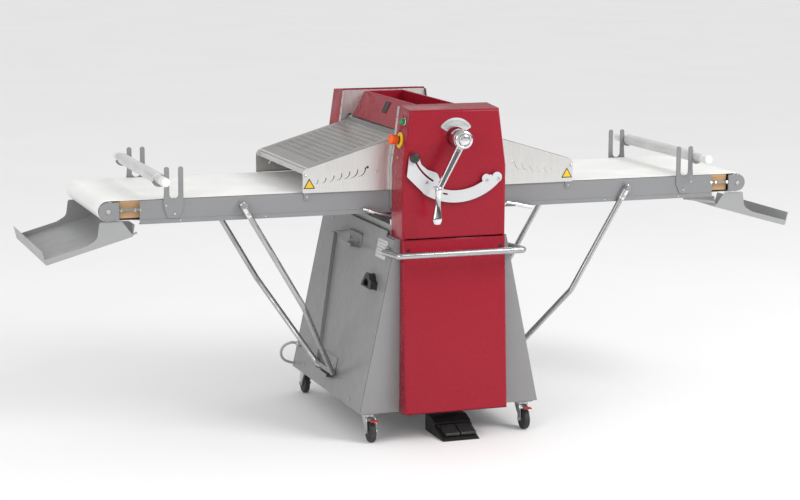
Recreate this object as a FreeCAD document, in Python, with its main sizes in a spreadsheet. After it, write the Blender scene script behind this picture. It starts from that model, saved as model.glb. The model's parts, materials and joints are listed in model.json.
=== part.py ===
import FreeCAD, Part
import math
import os
import re

from FreeCAD import Placement, Rotation, Vector

# Dough sheeter: a castor-mounted base, a roller head above it and two folding belt tables.
# +X points to the right-hand table, +Y to the back of the machine and +Z up. Lengths are in millimetres.

SIZES = {
    # whole machine: the belts' centre line lies this far behind the middle of the overall box
    "belt_line": 48.5,
    # base cabinet
    "base_low": 114,
    "seam": 782,
    "base_foot_half": 366.8,
    "base_top_half": 225.1,
    "base_deep_half": 440,
    "sheet": 2.5,
    "side_top": 798,
    "deck_top": 822,
    # roller head
    "head_half": 209,
    "shoulder": 1051,
    "top_half": 177,
    "head_top": 1282,
    "head_front_top": 1271,
    "face": 470,
    "apron": 515,
    "plate_out": 343,
    "plate_thick": 6,
    # rollers and pass line
    "pass_line": 958,
    "roll": 38,
    "roll_gap": 8,
    "shaft": 12,
    "running": 0.05,
    "belt_drum": 35,
    "belt_thick": 3,
    "belt_half": 298,
    "hinge_x": 150,
    "hinge_shaft": 10,
    # tables
    "rail_out": 312,
    "rail_thick": 3,
    "rail_low": 868,
    "rail_high": 956,
    "rail_end": 1178,
    "drum_x": 1294,
    "strut_x": 789,
    "strut_line": 327,
    "strut_tube": 11,
    "foot_x": 366,
    "foot_z": 200,
    # lever
    "lever_z": 1167,
    "lever_lean": 27.7,
    # direction rod
    "rod_z": 858,
    "rod_pivot": 7,
    # castors
    "castor_x": 318,
    "castor_y": 424,
    "wheel": 40,
}

doc = FreeCAD.newDocument("dough_sheeter")
sheet = doc.addObject("Spreadsheet::Sheet", "Sizes")
for row, (alias, number) in enumerate(SIZES.items(), start=1):
    sheet.set(f"A{row}", alias)
    sheet.set(f"B{row}", str(number))
    sheet.setAlias(f"B{row}", alias)
doc.recompute()


class Values:
    """The sheet's cells, read as plain numbers."""

    def __getattr__(self, alias):
        return float(sheet.get(alias))


v = Values()
parts = []


def bound(text):
    """An expression over the sheet's aliases, written with bare names."""
    return re.sub(r"[a-z][a-z_]*", lambda word: "Sizes." + word.group(0), str(text))


def circle(x, y, radius):
    return [Part.Circle(Vector(x, y, 0), Vector(0, 0, 1), radius)]


def outline(*points):
    """Closed outline of straight sides; a point's third value rounds that corner."""
    corners = [Vector(p[0], p[1], 0) for p in points]
    radii = [p[2] if len(p) > 2 else 0 for p in points]
    starts, ends, arcs = [], [], []
    for i, corner in enumerate(corners):
        before = (corners[i - 1] - corner).normalize()
        after = (corners[(i + 1) % len(corners)] - corner).normalize()
        half = before.getAngle(after) / 2
        back = radii[i] / math.tan(half)
        bisector = (before + after).normalize()
        middle = corner + bisector * (radii[i] / math.sin(half) - radii[i])
        starts.append(corner + before * back)
        ends.append(corner + after * back)
        arcs.append(middle)
    edges = []
    for i, corner in enumerate(corners):
        if radii[i]:
            edges.append(Part.Arc(starts[i], arcs[i], ends[i]))
        following = starts[(i + 1) % len(corners)]
        if ends[i].distanceToPoint(following) > 1e-6:
            edges.append(Part.LineSegment(ends[i], following))
    return edges


def rectangle(x_low, y_low, x_high, y_high, radius=0):
    return outline(
        (x_low, y_low, radius), (x_high, y_low, radius), (x_high, y_high, radius), (x_low, y_high, radius)
    )


def sector(x, y, inner, outer, start, stop):
    """Closed band between two arcs about (x, y), angles in degrees."""

    def at(radius, angle):
        turn = math.radians(angle)
        return Vector(x + radius * math.cos(turn), y + radius * math.sin(turn), 0)

    middle = (start + stop) / 2
    return [
        Part.Arc(at(outer, start), at(outer, middle), at(outer, stop)),
        Part.LineSegment(at(outer, stop), at(inner, stop)),
        Part.Arc(at(inner, stop), at(inner, middle), at(inner, start)),
        Part.LineSegment(at(inner, start), at(outer, start)),
    ]


def stadium(start, end, radius):
    """Closed loop about two round ends on a straight line."""
    start, end = Vector(*start, 0), Vector(*end, 0)
    along = (end - start).normalize() * radius
    across = Vector(-along.y, along.x, 0)
    return [
        Part.LineSegment(start - across, end - across),
        Part.Arc(end - across, end + along, end + across),
        Part.LineSegment(end + across, start + across),
        Part.Arc(start + across, start - along, start - across),
    ]


def arc_slot(x, y, radius, half, start, stop):
    """Closed slot of a half-width along an arc about (x, y), with round ends, angles in degrees."""

    def at(reach, angle):
        turn = math.radians(angle)
        return Vector(x + reach * math.cos(turn), y + reach * math.sin(turn), 0)

    past = math.degrees(half / radius)
    middle = (start + stop) / 2
    inner, outer = radius - half, radius + half
    return [
        Part.Arc(at(outer, start), at(outer, middle), at(outer, stop)),
        Part.Arc(at(outer, stop), at(radius, stop + past), at(inner, stop)),
        Part.Arc(at(inner, stop), at(inner, middle), at(inner, start)),
        Part.Arc(at(inner, start), at(radius, start - past), at(outer, start)),
    ]


def flip(edges, side):
    """The outline mirrored in its vertical axis when side is -1."""
    if side > 0:
        return edges
    for edge in edges:
        edge.mirror(Vector(0, 0, 0), Vector(0, 1, 0))
    return edges


class Piece:
    """One sub-part: a body whose features are given in the machine's own frame."""

    def __init__(self, label):
        self.label = label
        self.count = 0
        self.body = doc.addObject("PartDesign::Body", label)
        self.body.Label = label
        self.body.AllowCompound = True
        self.body.setExpression("Placement.Base.y", bound("belt_line"))
        parts.append(self.body)

    def feature(self, kind, word):
        self.count += 1
        return self.body.newObject(kind, f"{self.label}_{word}_{self.count}")

    def sketch(self, plane, level, outlines, shift=("0", "0")):
        sketch = self.feature("Sketcher::SketchObject", "sketch")
        planes = self.body.Origin.OriginFeatures
        sketch.AttachmentSupport = [(next(p for p in planes if p.Role == plane + "_Plane"), "")]
        sketch.MapMode = "FlatFace"
        normal = "-1 * " if plane == "XZ" else ""
        sketch.setExpression("AttachmentOffset.Base.x", bound(shift[0]))
        sketch.setExpression("AttachmentOffset.Base.y", bound(shift[1]))
        sketch.setExpression("AttachmentOffset.Base.z", f"{normal}({bound(level)})")
        for edges in outlines:
            sketch.addGeometry(edges, False)
        return sketch

    def pad(self, plane, low, high, *outlines):
        """Adds the outlines, drawn on a plane, between two levels along that plane's axis."""
        start = high if plane == "XZ" else low
        pad = self.feature("PartDesign::Pad", "pad")
        pad.Profile = self.sketch(plane, start, outlines)
        pad.setExpression("Length", f"({bound(high)}) - ({bound(low)})")
        self.body.Tip = pad
        return self

    def pocket(self, plane, low, high, *outlines):
        """Removes the outlines, drawn on a plane, between two levels along that plane's axis."""
        start = low if plane == "XZ" else high
        pocket = self.feature("PartDesign::Pocket", "pocket")
        pocket.Profile = self.sketch(plane, start, outlines)
        pocket.setExpression("Length", f"({bound(high)}) - ({bound(low)})")
        self.body.Tip = pocket
        return self

    def turn(self, axis, centre, profile):
        """Adds a turned form about an axis; the profile holds (along, radius) points."""
        plane, line = {"Y": ("YZ", "H_Axis"), "X": ("XZ", "H_Axis"), "Z": ("XZ", "V_Axis")}[axis]
        shift = {"Y": ("0", centre[1]), "X": ("0", centre[1]), "Z": (centre[0], "0")}[axis]
        level = {"Y": centre[0], "X": centre[0], "Z": centre[1]}[axis]
        points = profile if axis != "Z" else [(p[1], p[0], *p[2:]) for p in profile]
        sketch = self.sketch(plane, level, [outline(*points)], shift)
        turned = self.feature("PartDesign::Revolution", "turned")
        turned.Profile = sketch
        turned.ReferenceAxis = (sketch, [line])
        turned.Angle = 360
        self.body.Tip = turned
        return self

    def ease(self, radius, test, kind="Fillet"):
        """Rounds or chamfers the edges whose two ends both pass the test."""
        doc.recompute()
        base = self.body.Tip
        edges = [
            f"Edge{i}"
            for i, edge in enumerate(base.Shape.Edges, start=1)
            if all(test(p.Point) for p in edge.Vertexes)
        ]
        eased = self.feature("PartDesign::" + kind, "eased")
        eased.Base = (base, edges)
        setattr(eased, "Radius" if kind == "Fillet" else "Size", radius)
        self.body.Tip = eased
        return self


def shaped(label, shape):
    """A sub-part of swept and fused forms that the body features can't hold."""
    item = doc.addObject("Part::Feature", label)
    item.Label = label
    item.Shape = shape
    item.setExpression("Placement.Base.y", bound("belt_line"))
    parts.append(item)
    return item


def tube(points, radius, bend):
    """Round bar along straight runs joined by bends."""
    points = [Vector(*p) for p in points]
    pieces = []
    start = points[0]
    for before, corner, after in zip(points, points[1:], points[2:]):
        into = (before - corner).normalize()
        out = (after - corner).normalize()
        angle = into.getAngle(out)
        back = bend / math.tan(angle / 2)
        first = corner + into * back
        centre = corner + (into + out).normalize() * (bend / math.sin(angle / 2))
        disc = Part.Face(Part.Wire(Part.makeCircle(radius, first, into)))
        pieces.append(rod(start, first, radius))
        pieces.append(disc.revolve(centre, out.cross(into), 180 - math.degrees(angle)))
        start = corner + out * back
    pieces.append(rod(start, points[-1], radius))
    return pieces[0].fuse(pieces[1:])


def rod(start, end, radius):
    start, end = Vector(*start), Vector(*end)
    return Part.makeCylinder(radius, start.distanceToPoint(end), start, end - start)


# Derived positions shared by several pieces
hinge_z = v.pass_line - v.belt_thick - v.belt_drum
upper_z = v.pass_line + v.roll_gap + v.roll
slope = (v.base_foot_half - v.base_top_half) / (v.seam - v.base_low)
SIDES = {"left": -1, "right": 1}
START_Y, START_Z = -420, 1226
STOP_Y, STOP_Z = -396, 1155
GUARD_PIVOT = (155, 1175)


def panel_x(z):
    """Half-width of the base's sloping sides at a height."""
    return v.base_foot_half - slope * (z - v.base_low)


# ---------------------------------------------------------------- base cabinet
def base_frame():
    low, top, half = v.base_low, v.seam, v.base_deep_half
    trapezoid = [(-panel_x(low), low), (panel_x(low), low), (panel_x(top), top), (-panel_x(top), top)]
    piece = Piece("base_frame")
    piece.pad("XZ", "-base_deep_half", "sheet - base_deep_half", outline(*trapezoid))
    piece.pad("XZ", "base_deep_half - sheet", "base_deep_half", outline(*trapezoid))
    floor = rectangle(-panel_x(low) + 4, -half + 1, panel_x(low) - 4, half - 1)
    piece.pad("XY", "base_low", "base_low + 4", floor)
    lid = rectangle(4 - panel_x(top), -half + 1, panel_x(top) - 4, half - 1)
    chain_slot = rectangle(-60, 372, 60, 425)
    piece.pad("XY", "seam - 4", "seam", lid, chain_slot)
    deck = v.plate_out - v.plate_thick - 1
    hood = rectangle(-v.head_half, v.seam - 1, v.head_half, v.deck_top)
    hollow = rectangle(3 - v.head_half, v.seam - 2, v.head_half - 3, v.deck_top - 3)
    piece.pad("XZ", f"{-deck}", f"{deck}", hood)
    piece.pocket("XZ", f"{-deck - 1}", f"{deck + 1}", hollow)
    shelf_z = 300
    shelf = rectangle(-panel_x(shelf_z) + 6, -half + 1, panel_x(shelf_z) - 6, half - 1)
    piece.pad("XY", f"{shelf_z}", f"{shelf_z + 4}", shelf)
    for x in (-v.castor_x, v.castor_x):
        for y in (30 - v.castor_y, v.castor_y - 30):
            plate = rectangle(x - 38, y - 32, x + 38, y + 32, 6)
            piece.pad("XY", "base_low - 7", "base_low + 1", plate, circle(x, y, 8 + v.running))
            piece.pocket("XY", "base_low - 1", "base_low + 5", circle(x, y, 10))


def side_panels():
    piece = Piece("side_panels")
    full = v.base_deep_half - v.sheet - 0.5
    short = v.plate_out - v.plate_thick - 4
    for side in SIDES.values():
        for reach, low, high in ((full, v.base_low, v.seam - 4.5), (short, v.seam - 6, v.side_top)):
            sheet_line = outline(
                (panel_x(low), low),
                (panel_x(high), high),
                (panel_x(high) - v.sheet, high),
                (panel_x(low) - v.sheet, low),
            )
            piece.pad("XZ", f"{-reach}", f"{reach}", flip(sheet_line, side))


def lower_front_cover():
    back, wall = v.base_deep_half, v.sheet
    low, top = v.base_low, v.seam
    piece = Piece("lower_front_cover")
    wedge = outline((-back, low), (-v.apron, low), (-v.face, top), (-back, top))
    piece.pad("YZ", "-head_half", "head_half", wedge)
    piece.ease(10, lambda p: p.y < 1 - v.face and abs(abs(p.x) - v.head_half) < 1)
    floor, roof = low + wall, top - wall
    inside = outline((1 - back, floor), (wall - v.apron, floor), (wall - v.face, roof), (1 - back, roof))
    piece.pocket("YZ", "8 - head_half", "head_half - 8", inside)


def head_outline(inset=0, foot=0):
    half, top = v.head_half - inset, v.head_top - inset
    return outline(
        (-half, v.seam + foot),
        (half, v.seam + foot),
        (half, v.shoulder),
        (v.top_half - inset, top),
        (inset - v.top_half, top),
        (-half, v.shoulder),
    )


def upper_cover(label, side):
    """Red sheet-metal housing; side is -1 for the front and +1 for the back."""
    piece = Piece(label)
    near, far = v.plate_out, v.face
    spans = {-1: ("-face", "-plate_out"), 1: ("plate_out", "face")}
    piece.pad("XZ", *spans[side], head_outline())
    slant = outline(
        (side * near, v.head_top), (side * far, v.head_front_top), (side * far, v.head_top + 9),
        (side * near, v.head_top + 9),
    )
    piece.pocket("YZ", "-head_half", "head_half", slant)
    piece.ease(12, lambda p: side * p.y > far - 1)
    wall = v.sheet
    inner = {-1: (f"{wall} - face", "1 - plate_out"), 1: ("plate_out - 1", f"face - {wall}")}
    piece.pocket("XZ", *inner[side], head_outline(12, -9))
    return piece


def upper_front_cover():
    piece = upper_cover("upper_front_cover", -1)
    piece.pocket("XZ", "-face - 5", "10 - face", circle(0, v.lever_z, v.shaft + 1))
    holes = [circle(START_Y, START_Z - 0.8, 8.5), circle(STOP_Y, STOP_Z - 0.5, 11)]
    piece.pocket("YZ", "-head_half - 5", "45 - head_half", *holes)


def upper_rear_cover():
    upper_cover("upper_rear_cover", 1)


def head_plates():
    piece = Piece("head_plates")
    slot = stadium((0, upper_z - 8), (0, upper_z + 30), v.shaft + 1.5)
    holes = [circle(0, hinge_z, v.shaft + v.running), slot, circle(0, v.lever_z, v.shaft + v.running)]
    for side in SIDES.values():
        holes.append(circle(side * v.hinge_x, hinge_z, v.hinge_shaft + v.running))
        holes.append(circle(side * GUARD_PIVOT[0], GUARD_PIVOT[1], 6 + v.running))
    plate = outline(
        (-v.head_half + 3, v.seam), (v.head_half - 3, v.seam), (v.head_half - 3, v.shoulder),
        (v.top_half - 3, v.head_top - 6), (3 - v.top_half, v.head_top - 6), (3 - v.head_half, v.shoulder),
    )
    rod_bore = circle(0, v.rod_z, v.rod_pivot + v.running)
    piece.pad("XZ", "-plate_out", "plate_thick - plate_out", plate, rod_bore, *holes)
    piece.pad("XZ", "plate_out - plate_thick", "plate_out", plate, *holes)


# ---------------------------------------------------------------- head fittings
def roller_hood():
    """Two red sheets that slope down from the flour trough, above the rollers."""
    piece = Piece("roller_hood")
    for side in SIDES.values():
        sheet_line = outline((137, 1172), (85, 1270), (78, 1270), (78, 1268), (83.8, 1268), (134.8, 1172))
        reach = v.plate_out - v.plate_thick - 1
        piece.pad("XZ", f"{-reach}", f"{reach}", flip(sheet_line, side))


def flour_trough():
    piece = Piece("flour_trough")
    deep = 330
    piece.pad("XZ", f"{-deep}", f"{deep}", rectangle(-77, 1213, 77, 1270.5, 3))
    piece.pad("XY", "1270", "1271.5", rectangle(-84, -deep - 4, 84, deep + 4))
    piece.pocket("XZ", f"{1.5 - deep}", f"{deep - 1.5}", rectangle(-75.5, 1214.5, 75.5, 1280))


def scale_plate():
    piece = Piece("scale_plate")
    piece.pad("XZ", "-face - 1.5", "-face", sector(0, v.lever_z, 40, 74, 28, 149))


STOP_TURN, STOP_REACH, STOP_STUD = -158, 186, 3.5
SPACERS = [(-121, 1002), (124, 1001), (171, 1005)]


def quadrant_plate():
    """White stop plate on three spacers, with the curved slot of the thickness stop."""
    piece = Piece("quadrant_plate")
    z, near, far = v.lever_z, "-face - 13", "-face - 16"
    piece.pad("XZ", far, near, sector(0, z, 200, 246, -123, -46))
    outer_side = [(-190, 1104, 8), (-199, 1026, 5), (-131, 960), (-76, 936)]
    inner_side = [(-52, 976), (-78, 1036, 16), (-118, 1050, 12), (-142, 1070, 20), (-154, 1104, 8)]
    piece.pad("XZ", far, near, outline(*outer_side, *inner_side))
    piece.pad("XZ", far, near, circle(121, 1008, 17))
    piece.pad("XZ", far, near, circle(165, 1011, 20))
    piece.pocket("XZ", far, near, arc_slot(0, z, STOP_REACH, STOP_STUD + 0.1, STOP_TURN, STOP_TURN + 37))
    piece.pocket("XZ", far, near, arc_slot(0, z, 216, 3, -104, -100))
    for x, height in SPACERS:
        piece.pad("XZ", near, "-face", circle(x, height, 6))


def stop_knob():
    """Round knob on a stud that slides in the quadrant's slot, held by a nut behind the plate."""
    turn = math.radians(STOP_TURN)
    x, z = STOP_REACH * math.cos(turn), v.lever_z + STOP_REACH * math.sin(turn)
    face, stud = v.face, STOP_STUD
    nut = [(-face - 9, 0), (-face - 9, 8), (-face - 12.5, 8), (-face - 12.5, stud)]
    profile = nut + [(-face - 16.5, stud), (-face - 16.5, 18, 3), (-face - 30, 20, 6), (-face - 34, 0)]
    Piece("stop_knob").turn("Y", (f"{x}", f"{z}"), profile)


def adjusting_lever():
    """Sleeve, arm and grip on the shaft that crosses the head and carries the two lifting cranks."""
    face, z = v.face, v.lever_z
    front = Vector(0, -1, 0)
    lean = math.radians(v.lever_lean)
    down, across = Vector(-math.sin(lean), 0, -math.cos(lean)), Vector(-math.cos(lean), 0, math.sin(lean))
    centre = Vector(0, 0, z)
    elbow = centre + down * 208
    sleeve = Part.makeCylinder(36, 74, Vector(0, -face - 4, z), front)
    cap = Part.makeCone(34, 24, 15, Vector(0, -face - 78, z), front)
    shaft = Part.makeCylinder(v.shaft, face + 45 + v.plate_out, Vector(0, -face - 45, z), Vector(0, 1, 0))
    arm_y = -face - 74
    corners = [centre + across * 15, elbow + across * 11, elbow - across * 11, centre - across * 15]
    corners = [c + Vector(0, arm_y, 0) for c in corners]
    arm = Part.Face(Part.makePolygon(corners + corners[:1])).extrude(front * 12)
    middle = Vector(0, arm_y - 6, 0)
    neck = elbow - down * 8 + middle
    reach = Vector(-103, 0, 884) + middle - neck
    grip = Part.makeCone(9, 17, reach.Length, neck, reach)
    end = Part.makeCone(17, 13, 32, neck + reach, reach)
    shape = sleeve.fuse([cap, shaft, arm, grip, end])
    for y in (-300, 292):
        crank = Part.makeCylinder(24, 8, Vector(0, y, z), Vector(0, 1, 0))
        pin = Part.makeCylinder(6, 12, Vector(15, y - 2, z), Vector(0, 1, 0))
        shape = shape.fuse([crank, pin])
    shaped("adjusting_lever", shape.removeSplitter())


def side_normal(side):
    """Outward direction of the head cover's tapering side face."""
    return Vector(side * (v.head_top - v.shoulder), 0, v.head_half - v.top_half).normalize()


def side_point(y, z):
    """Point on the front cover's left side face."""
    taper = (v.head_half - v.top_half) / (v.head_top - v.shoulder)
    return Vector(-v.head_half + taper * (z - v.shoulder), y, z)


def buttons():
    out = side_normal(-1)
    start, stop = side_point(START_Y, START_Z), side_point(STOP_Y, STOP_Z)
    ring = Part.makeCylinder(15, 4, start + out * 0.2, out).cut(Part.makeCylinder(11.6, 6, start, out))
    disc = Part.makeCylinder(30, 7, stop + out * 0.2, out).cut(Part.makeCylinder(9.6, 9, stop, out))
    shaped("button_bezels", Part.makeCompound([ring, disc]))
    stem = Part.makeCylinder(6, 18, start - out * 12, out)
    cap = Part.makeCylinder(11, 14, start + out * 4.5, out)
    shaped("start_button", cap.fuse(stem).removeSplitter())
    mushroom = Part.makeCylinder(20, 33, stop + out * 13, out)
    mushroom = mushroom.makeFillet(6, [mushroom.Edges[0]])
    stem = Part.makeCylinder(9, 22, stop - out * 8, out)
    shaped("estop_button", mushroom.fuse(stem).removeSplitter())


# ---------------------------------------------------------------- rollers and drive
def roller(label, x, z, radius, length, shaft, front, back, wheels=()):
    """Turned roller on a shaft that reaches from front to back, with chain wheels behind."""
    profile = [(front, 0), (front, shaft), (-length, shaft), (-length, radius, 2)]
    profile += [(length, radius, 2), (length, shaft)]
    for start, stop, wheel in wheels:
        profile += [(start, shaft), (start, wheel), (stop, wheel), (stop, shaft)]
    profile += [(back, shaft), (back, 0)]
    Piece(label).turn("Y", (f"{x}", f"{z}"), profile)


CHAIN_LOW, CHAIN_HIGH = (386, 394), (402, 410)
MOTOR_Z = 420
END_SHAFT = 8


def rollers():
    drive, link = (*CHAIN_LOW, 40), (*CHAIN_HIGH, 32)
    roller("lower_roller", 0, hinge_z, v.roll, 300, v.shaft, -342, 414, (drive, link))
    roller("upper_roller", 0, upper_z, v.roll, 300, v.shaft, -342, 342)
    for name, side in SIDES.items():
        x = side * v.hinge_x
        roller(f"drive_roller_{name}", x, hinge_z, v.belt_drum, 297, v.hinge_shaft, -342, 414, (link,))
        roller(f"end_roller_{name}", side * v.drum_x, hinge_z, v.belt_drum, 297, END_SHAFT, -311, 311)
    near, far = CHAIN_LOW
    profile = [(340.5, 0), (340.5, 10), (near, 10), (near, 40), (far, 40), (far, 10), (400, 10), (400, 0)]
    Piece("motor_sprocket").turn("Y", ("0", f"{MOTOR_Z}"), profile)


def drive_chain():
    piece = Piece("drive_chain")
    loops = [stadium((0, MOTOR_Z), (0, hinge_z), radius) for radius in (46, 41)]
    piece.pad("XZ", f"{CHAIN_LOW[0]}", f"{CHAIN_LOW[1]}", *loops)
    loops = [stadium((-v.hinge_x, hinge_z), (v.hinge_x, hinge_z), radius) for radius in (38, 33)]
    piece.pad("XZ", f"{CHAIN_HIGH[0]}", f"{CHAIN_HIGH[1]}", *loops)


def roller_carriage():
    """Two bearing blocks for the upper roller, tied by a beam above it."""
    piece = Piece("roller_carriage")
    hole = circle(0, upper_z, v.shaft + v.running)
    for low, high in (("318", "334"), ("-334", "-318")):
        piece.pad("XZ", low, high, rectangle(-34, upper_z - 26, 34, 1108, 8), hole)
    piece.pad("XZ", "-318", "318", rectangle(-14, 1078, 14, 1104, 3))


def scrapers():
    """Blades that bridge the gaps between the lower roller and the two belts."""
    piece = Piece("scrapers")
    for side in SIDES.values():
        blade = outline((41, 946), (107, 951), (107, 949), (60, 938), (60, 928), (52, 928), (52, 938))
        piece.pad("XZ", "plate_thick - plate_out", "plate_out - plate_thick", flip(blade, side))


def drive_motor():
    piece = Piece("drive_motor")
    piece.pad("XZ", "180", "340", rectangle(-60, 304, 60, 482, 8))
    piece.turn("Y", ("0", f"{MOTOR_Z - 20}"), [(-60, 0), (-60, 60, 6), (-20, 68, 3), (181, 68), (181, 0)])


def control_box():
    piece = Piece("control_box")
    piece.pad("XY", "304", "470", rectangle(-140, -425, 140, -290, 6))


# ---------------------------------------------------------------- tables
STRUT_PIN = 6


def table_frame(name, side):
    piece = Piece(f"table_frame_{name}")
    pivot = circle(side * v.hinge_x, hinge_z, v.hinge_shaft + v.running)
    for near, far in (("-rail_out", "rail_thick - rail_out"), ("rail_out - rail_thick", "rail_out")):
        web = rectangle(120, v.rail_low, v.rail_end, v.rail_high, 3)
        piece.pad("XZ", near, far, flip(web, side), pivot)
    for low, high in (("-rail_out - 2", "-rail_out"), ("rail_out", "rail_out + 2")):
        piece.pad("XZ", low, high, flip(rectangle(200, v.rail_low, v.rail_end, 884, 1), side))
    for low, high in (("-rail_out", "18 - rail_out"), ("rail_out - 18", "rail_out")):
        piece.pad("XZ", low, high, flip(rectangle(200, v.rail_low, v.rail_end, v.rail_low + 3), side))
    for x in (330, v.strut_x, 1120):
        crossbar = rectangle(x - 15, 915, x + 15, 943)
        piece.pad("XZ", "rail_thick - rail_out", "rail_out - rail_thick", flip(crossbar, side))
    cheek = outline((1254, 887, 3), (1328, 887, 32), (1328, 953, 32), (1254, 953, 3))
    for low, high in (("-rail_out", "6 - rail_out"), ("rail_out - 6", "rail_out")):
        bore = circle(side * v.drum_x, hinge_z, END_SHAFT + v.running)
        piece.pad("XZ", low, high, flip([e.copy() for e in cheek], side), bore)
    span = (1150, 1258) if side > 0 else (-1258, -1150)
    for y in (-308, 308):
        piece.pad("YZ", f"{span[0]}", f"{span[1]}", circle(y, hinge_z + 3, 4))
    strut_pivot(piece, side)


def strut_pivot(piece, side):
    """Leaning plate on each rail with the strut's headed pivot pin, and the guard's stop tab."""
    lean = Vector(v.foot_x - v.strut_x, v.foot_z - hinge_z, 0).normalize()
    top = Vector(v.strut_x, hinge_z + 1, 0)
    bottom, crown = top + lean * 42, top - lean * 6
    plate = stadium((bottom.x, bottom.y), (crown.x, crown.y), 15)
    tab = rectangle(527, 930, 549, 956, 4)
    pin = circle(v.strut_x, hinge_z + 1, STRUT_PIN)
    head = circle(v.strut_x, hinge_z + 1, 9)
    for face in (-1, 1):
        for near, far, edges in ((0, 3.5, plate), (0, 28, pin), (27, 32, head), (0, 4, tab)):
            low, high = sorted((face * (v.rail_out + near), face * (v.rail_out + far)))
            piece.pad("XZ", f"{low}", f"{high}", flip([e.copy() for e in edges], side))


def table_bed(name, side):
    piece = Piece(f"table_bed_{name}")
    piece.pad("XZ", "1 - belt_half", "belt_half - 1", flip(rectangle(195, 943, 1250, 954.5), side))
    for low, high in (("2 - belt_half", "20 - belt_half"), ("belt_half - 20", "belt_half - 2")):
        piece.pad("XZ", low, high, flip(rectangle(1136, 891, 1250, 944), side))


def belt(name, side):
    piece = Piece(f"belt_{name}")
    ends = [(x, hinge_z) for x in sorted((side * v.hinge_x, side * v.drum_x))]
    loops = [stadium(*ends, v.belt_drum + gap) for gap in (v.belt_thick, 0.2)]
    piece.pad("XZ", "-belt_half", "belt_half", *loops)


PIN_X, PIN_Z = 1104, 1033
PIN_HANDLE = 17


def pin_holders(name, side):
    """Two-pronged plates outside both rails, with an outer hook for the rolling pin's handles."""
    piece = Piece(f"pin_holders_{name}")
    foot = [(1014, 995), (1014, 925, 20), (1032, 886, 12), (1074, 886, 10), (1091, 938, 20), (1086, 995)]
    for low, high in (("-rail_out - 4", "-rail_out"), ("rail_out", "rail_out + 4")):
        piece.pad("XZ", low, high, flip(outline(*foot), side))
        for inner, outer in ((1014, 1033), (1067, 1086)):
            round_top = (outer - inner) / 2.05
            prong = outline((inner, 985), (outer, 985), (outer, 1077, round_top), (inner, 1077, round_top))
            piece.pad("XZ", low, high, flip(prong, side))
        hook = sector(PIN_X, PIN_Z, PIN_HANDLE + 0.08, PIN_HANDLE + 12, 185, 345)
        piece.pad("XZ", low, high, flip(hook, side))
    notch = stadium((1050, 975), (1050, 1010), 17)
    piece.pocket("XZ", "-rail_out - 5", "rail_out + 5", flip(notch, side))


def rolling_pin(name, side):
    handle, tube_radius, tube_half, half = PIN_HANDLE, 22.5, 306, 420
    profile = [(-half, 0), (-half, handle, 6), (-tube_half, handle), (-tube_half, tube_radius, 2)]
    profile += [(-along, *rest) for along, *rest in reversed(profile)]
    Piece(f"rolling_pin_{name}").turn("Y", (f"{side * PIN_X}", f"{PIN_Z}"), profile)


def strut(name, side):
    """One bent tube: down from the front rail, across at the foot and up to the back rail."""
    drop = 0.55
    top = Vector(-v.strut_x, -v.strut_line, hinge_z + 1)
    foot = Vector(-v.foot_x, -102, v.foot_z)
    bend = Vector(top.x + (foot.x - top.x) * drop, top.y, top.z + (foot.z - top.z) * drop)
    lead = top + (bend - top).normalize() * 9
    half = [lead, bend, foot]
    path = half + [Vector(p.x, -p.y, p.z) for p in reversed(half)]
    shape = tube(path, v.strut_tube, 26)
    for y in (-338, 317):
        eye = Part.makeCylinder(13, 21, Vector(top.x, y, top.z), Vector(0, 1, 0))
        shape = shape.fuse(eye)
    for y in (-340, 315):
        bore = Part.makeCylinder(STRUT_PIN + v.running, 25, Vector(top.x, y, top.z), Vector(0, 1, 0))
        shape = shape.cut(bore)
    if side > 0:
        shape = shape.mirror(Vector(0, 0, 0), Vector(1, 0, 0))
    shaped(f"strut_{name}", shape)


def catch_pan(name, side):
    """Sloping tray under the table's end; the right-hand one reaches back to the rails on two bars."""
    piece = Piece(f"catch_pan_{name}")
    above = [(1197, 866), (1204, 825, 10), (1524, 733, 8), (1539, 785)]
    below = [(1541, 785), (1528, 730, 10), (1202, 822, 12), (1195, 866)]
    piece.pad("XZ", "-302", "302", flip(outline(*above, *below), side))
    wall = [(1200, 824), (1243, 880, 8), (1326, 880, 8)]
    wall += [(1335, 818, 30), (1372, 796, 20), (1530, 752), (1526, 732)]
    for low, high in (("-302", "-300"), ("300", "302")):
        piece.pad("XZ", low, high, flip(outline(*wall), side))
    rail = [(1186, 838), (1186, 832), (1204, 826), (1204, 834)]
    if side > 0:
        rail = [(1060, 867), (1060, 859), (1196, 838), (1200, 846)]
    for low, high in (("-300", "-292"), ("292", "300")):
        piece.pad("XZ", low, high, flip(outline(*rail), side))


def guard(name, side):
    """Sheet cover over the rollers' infeed: two cheeks that straddle the rails, and a sloping top."""
    piece = Piece(f"guard_{name}")
    cheek = [(200, 957, 4), (555, 957, 3), (555, 1030), (545, 1048.2)]
    cheek += [(155, 1164.7), (155, 1150), (200, 1105, 10)]
    x, z = GUARD_PIVOT
    top = [(167, 1162.4), (546, 1049.2), (556, 1029), (554, 1028), (544.6, 1047.2), (166.4, 1160.2)]
    piece.pad("XZ", "-320", "320", flip(outline(*top), side))
    for face in (-1, 1):
        thin, pin = sorted((face * 318, face * 320)), sorted((face * 319, face * 342))
        piece.pad("XZ", f"{thin[0]}", f"{thin[1]}", flip(outline(*cheek), side))
        piece.pad("XZ", f"{thin[0]}", f"{thin[1]}", circle(side * x, z, 13))
        piece.pad("XZ", f"{pin[0]}", f"{pin[1]}", circle(side * x, z, 6))


# ---------------------------------------------------------------- fittings on the base
def on_panel(side, corners, inner, outer):
    """Prism on the base's sloping side: (y, z) corners, between two heights above the sheet."""
    out = Vector(side, 0, slope).normalize()
    points = [Vector(side * panel_x(z), y, z) + out * inner for y, z in corners]
    return Part.Face(Part.makePolygon(points + points[:1])).extrude(out * (outer - inner))


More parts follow.
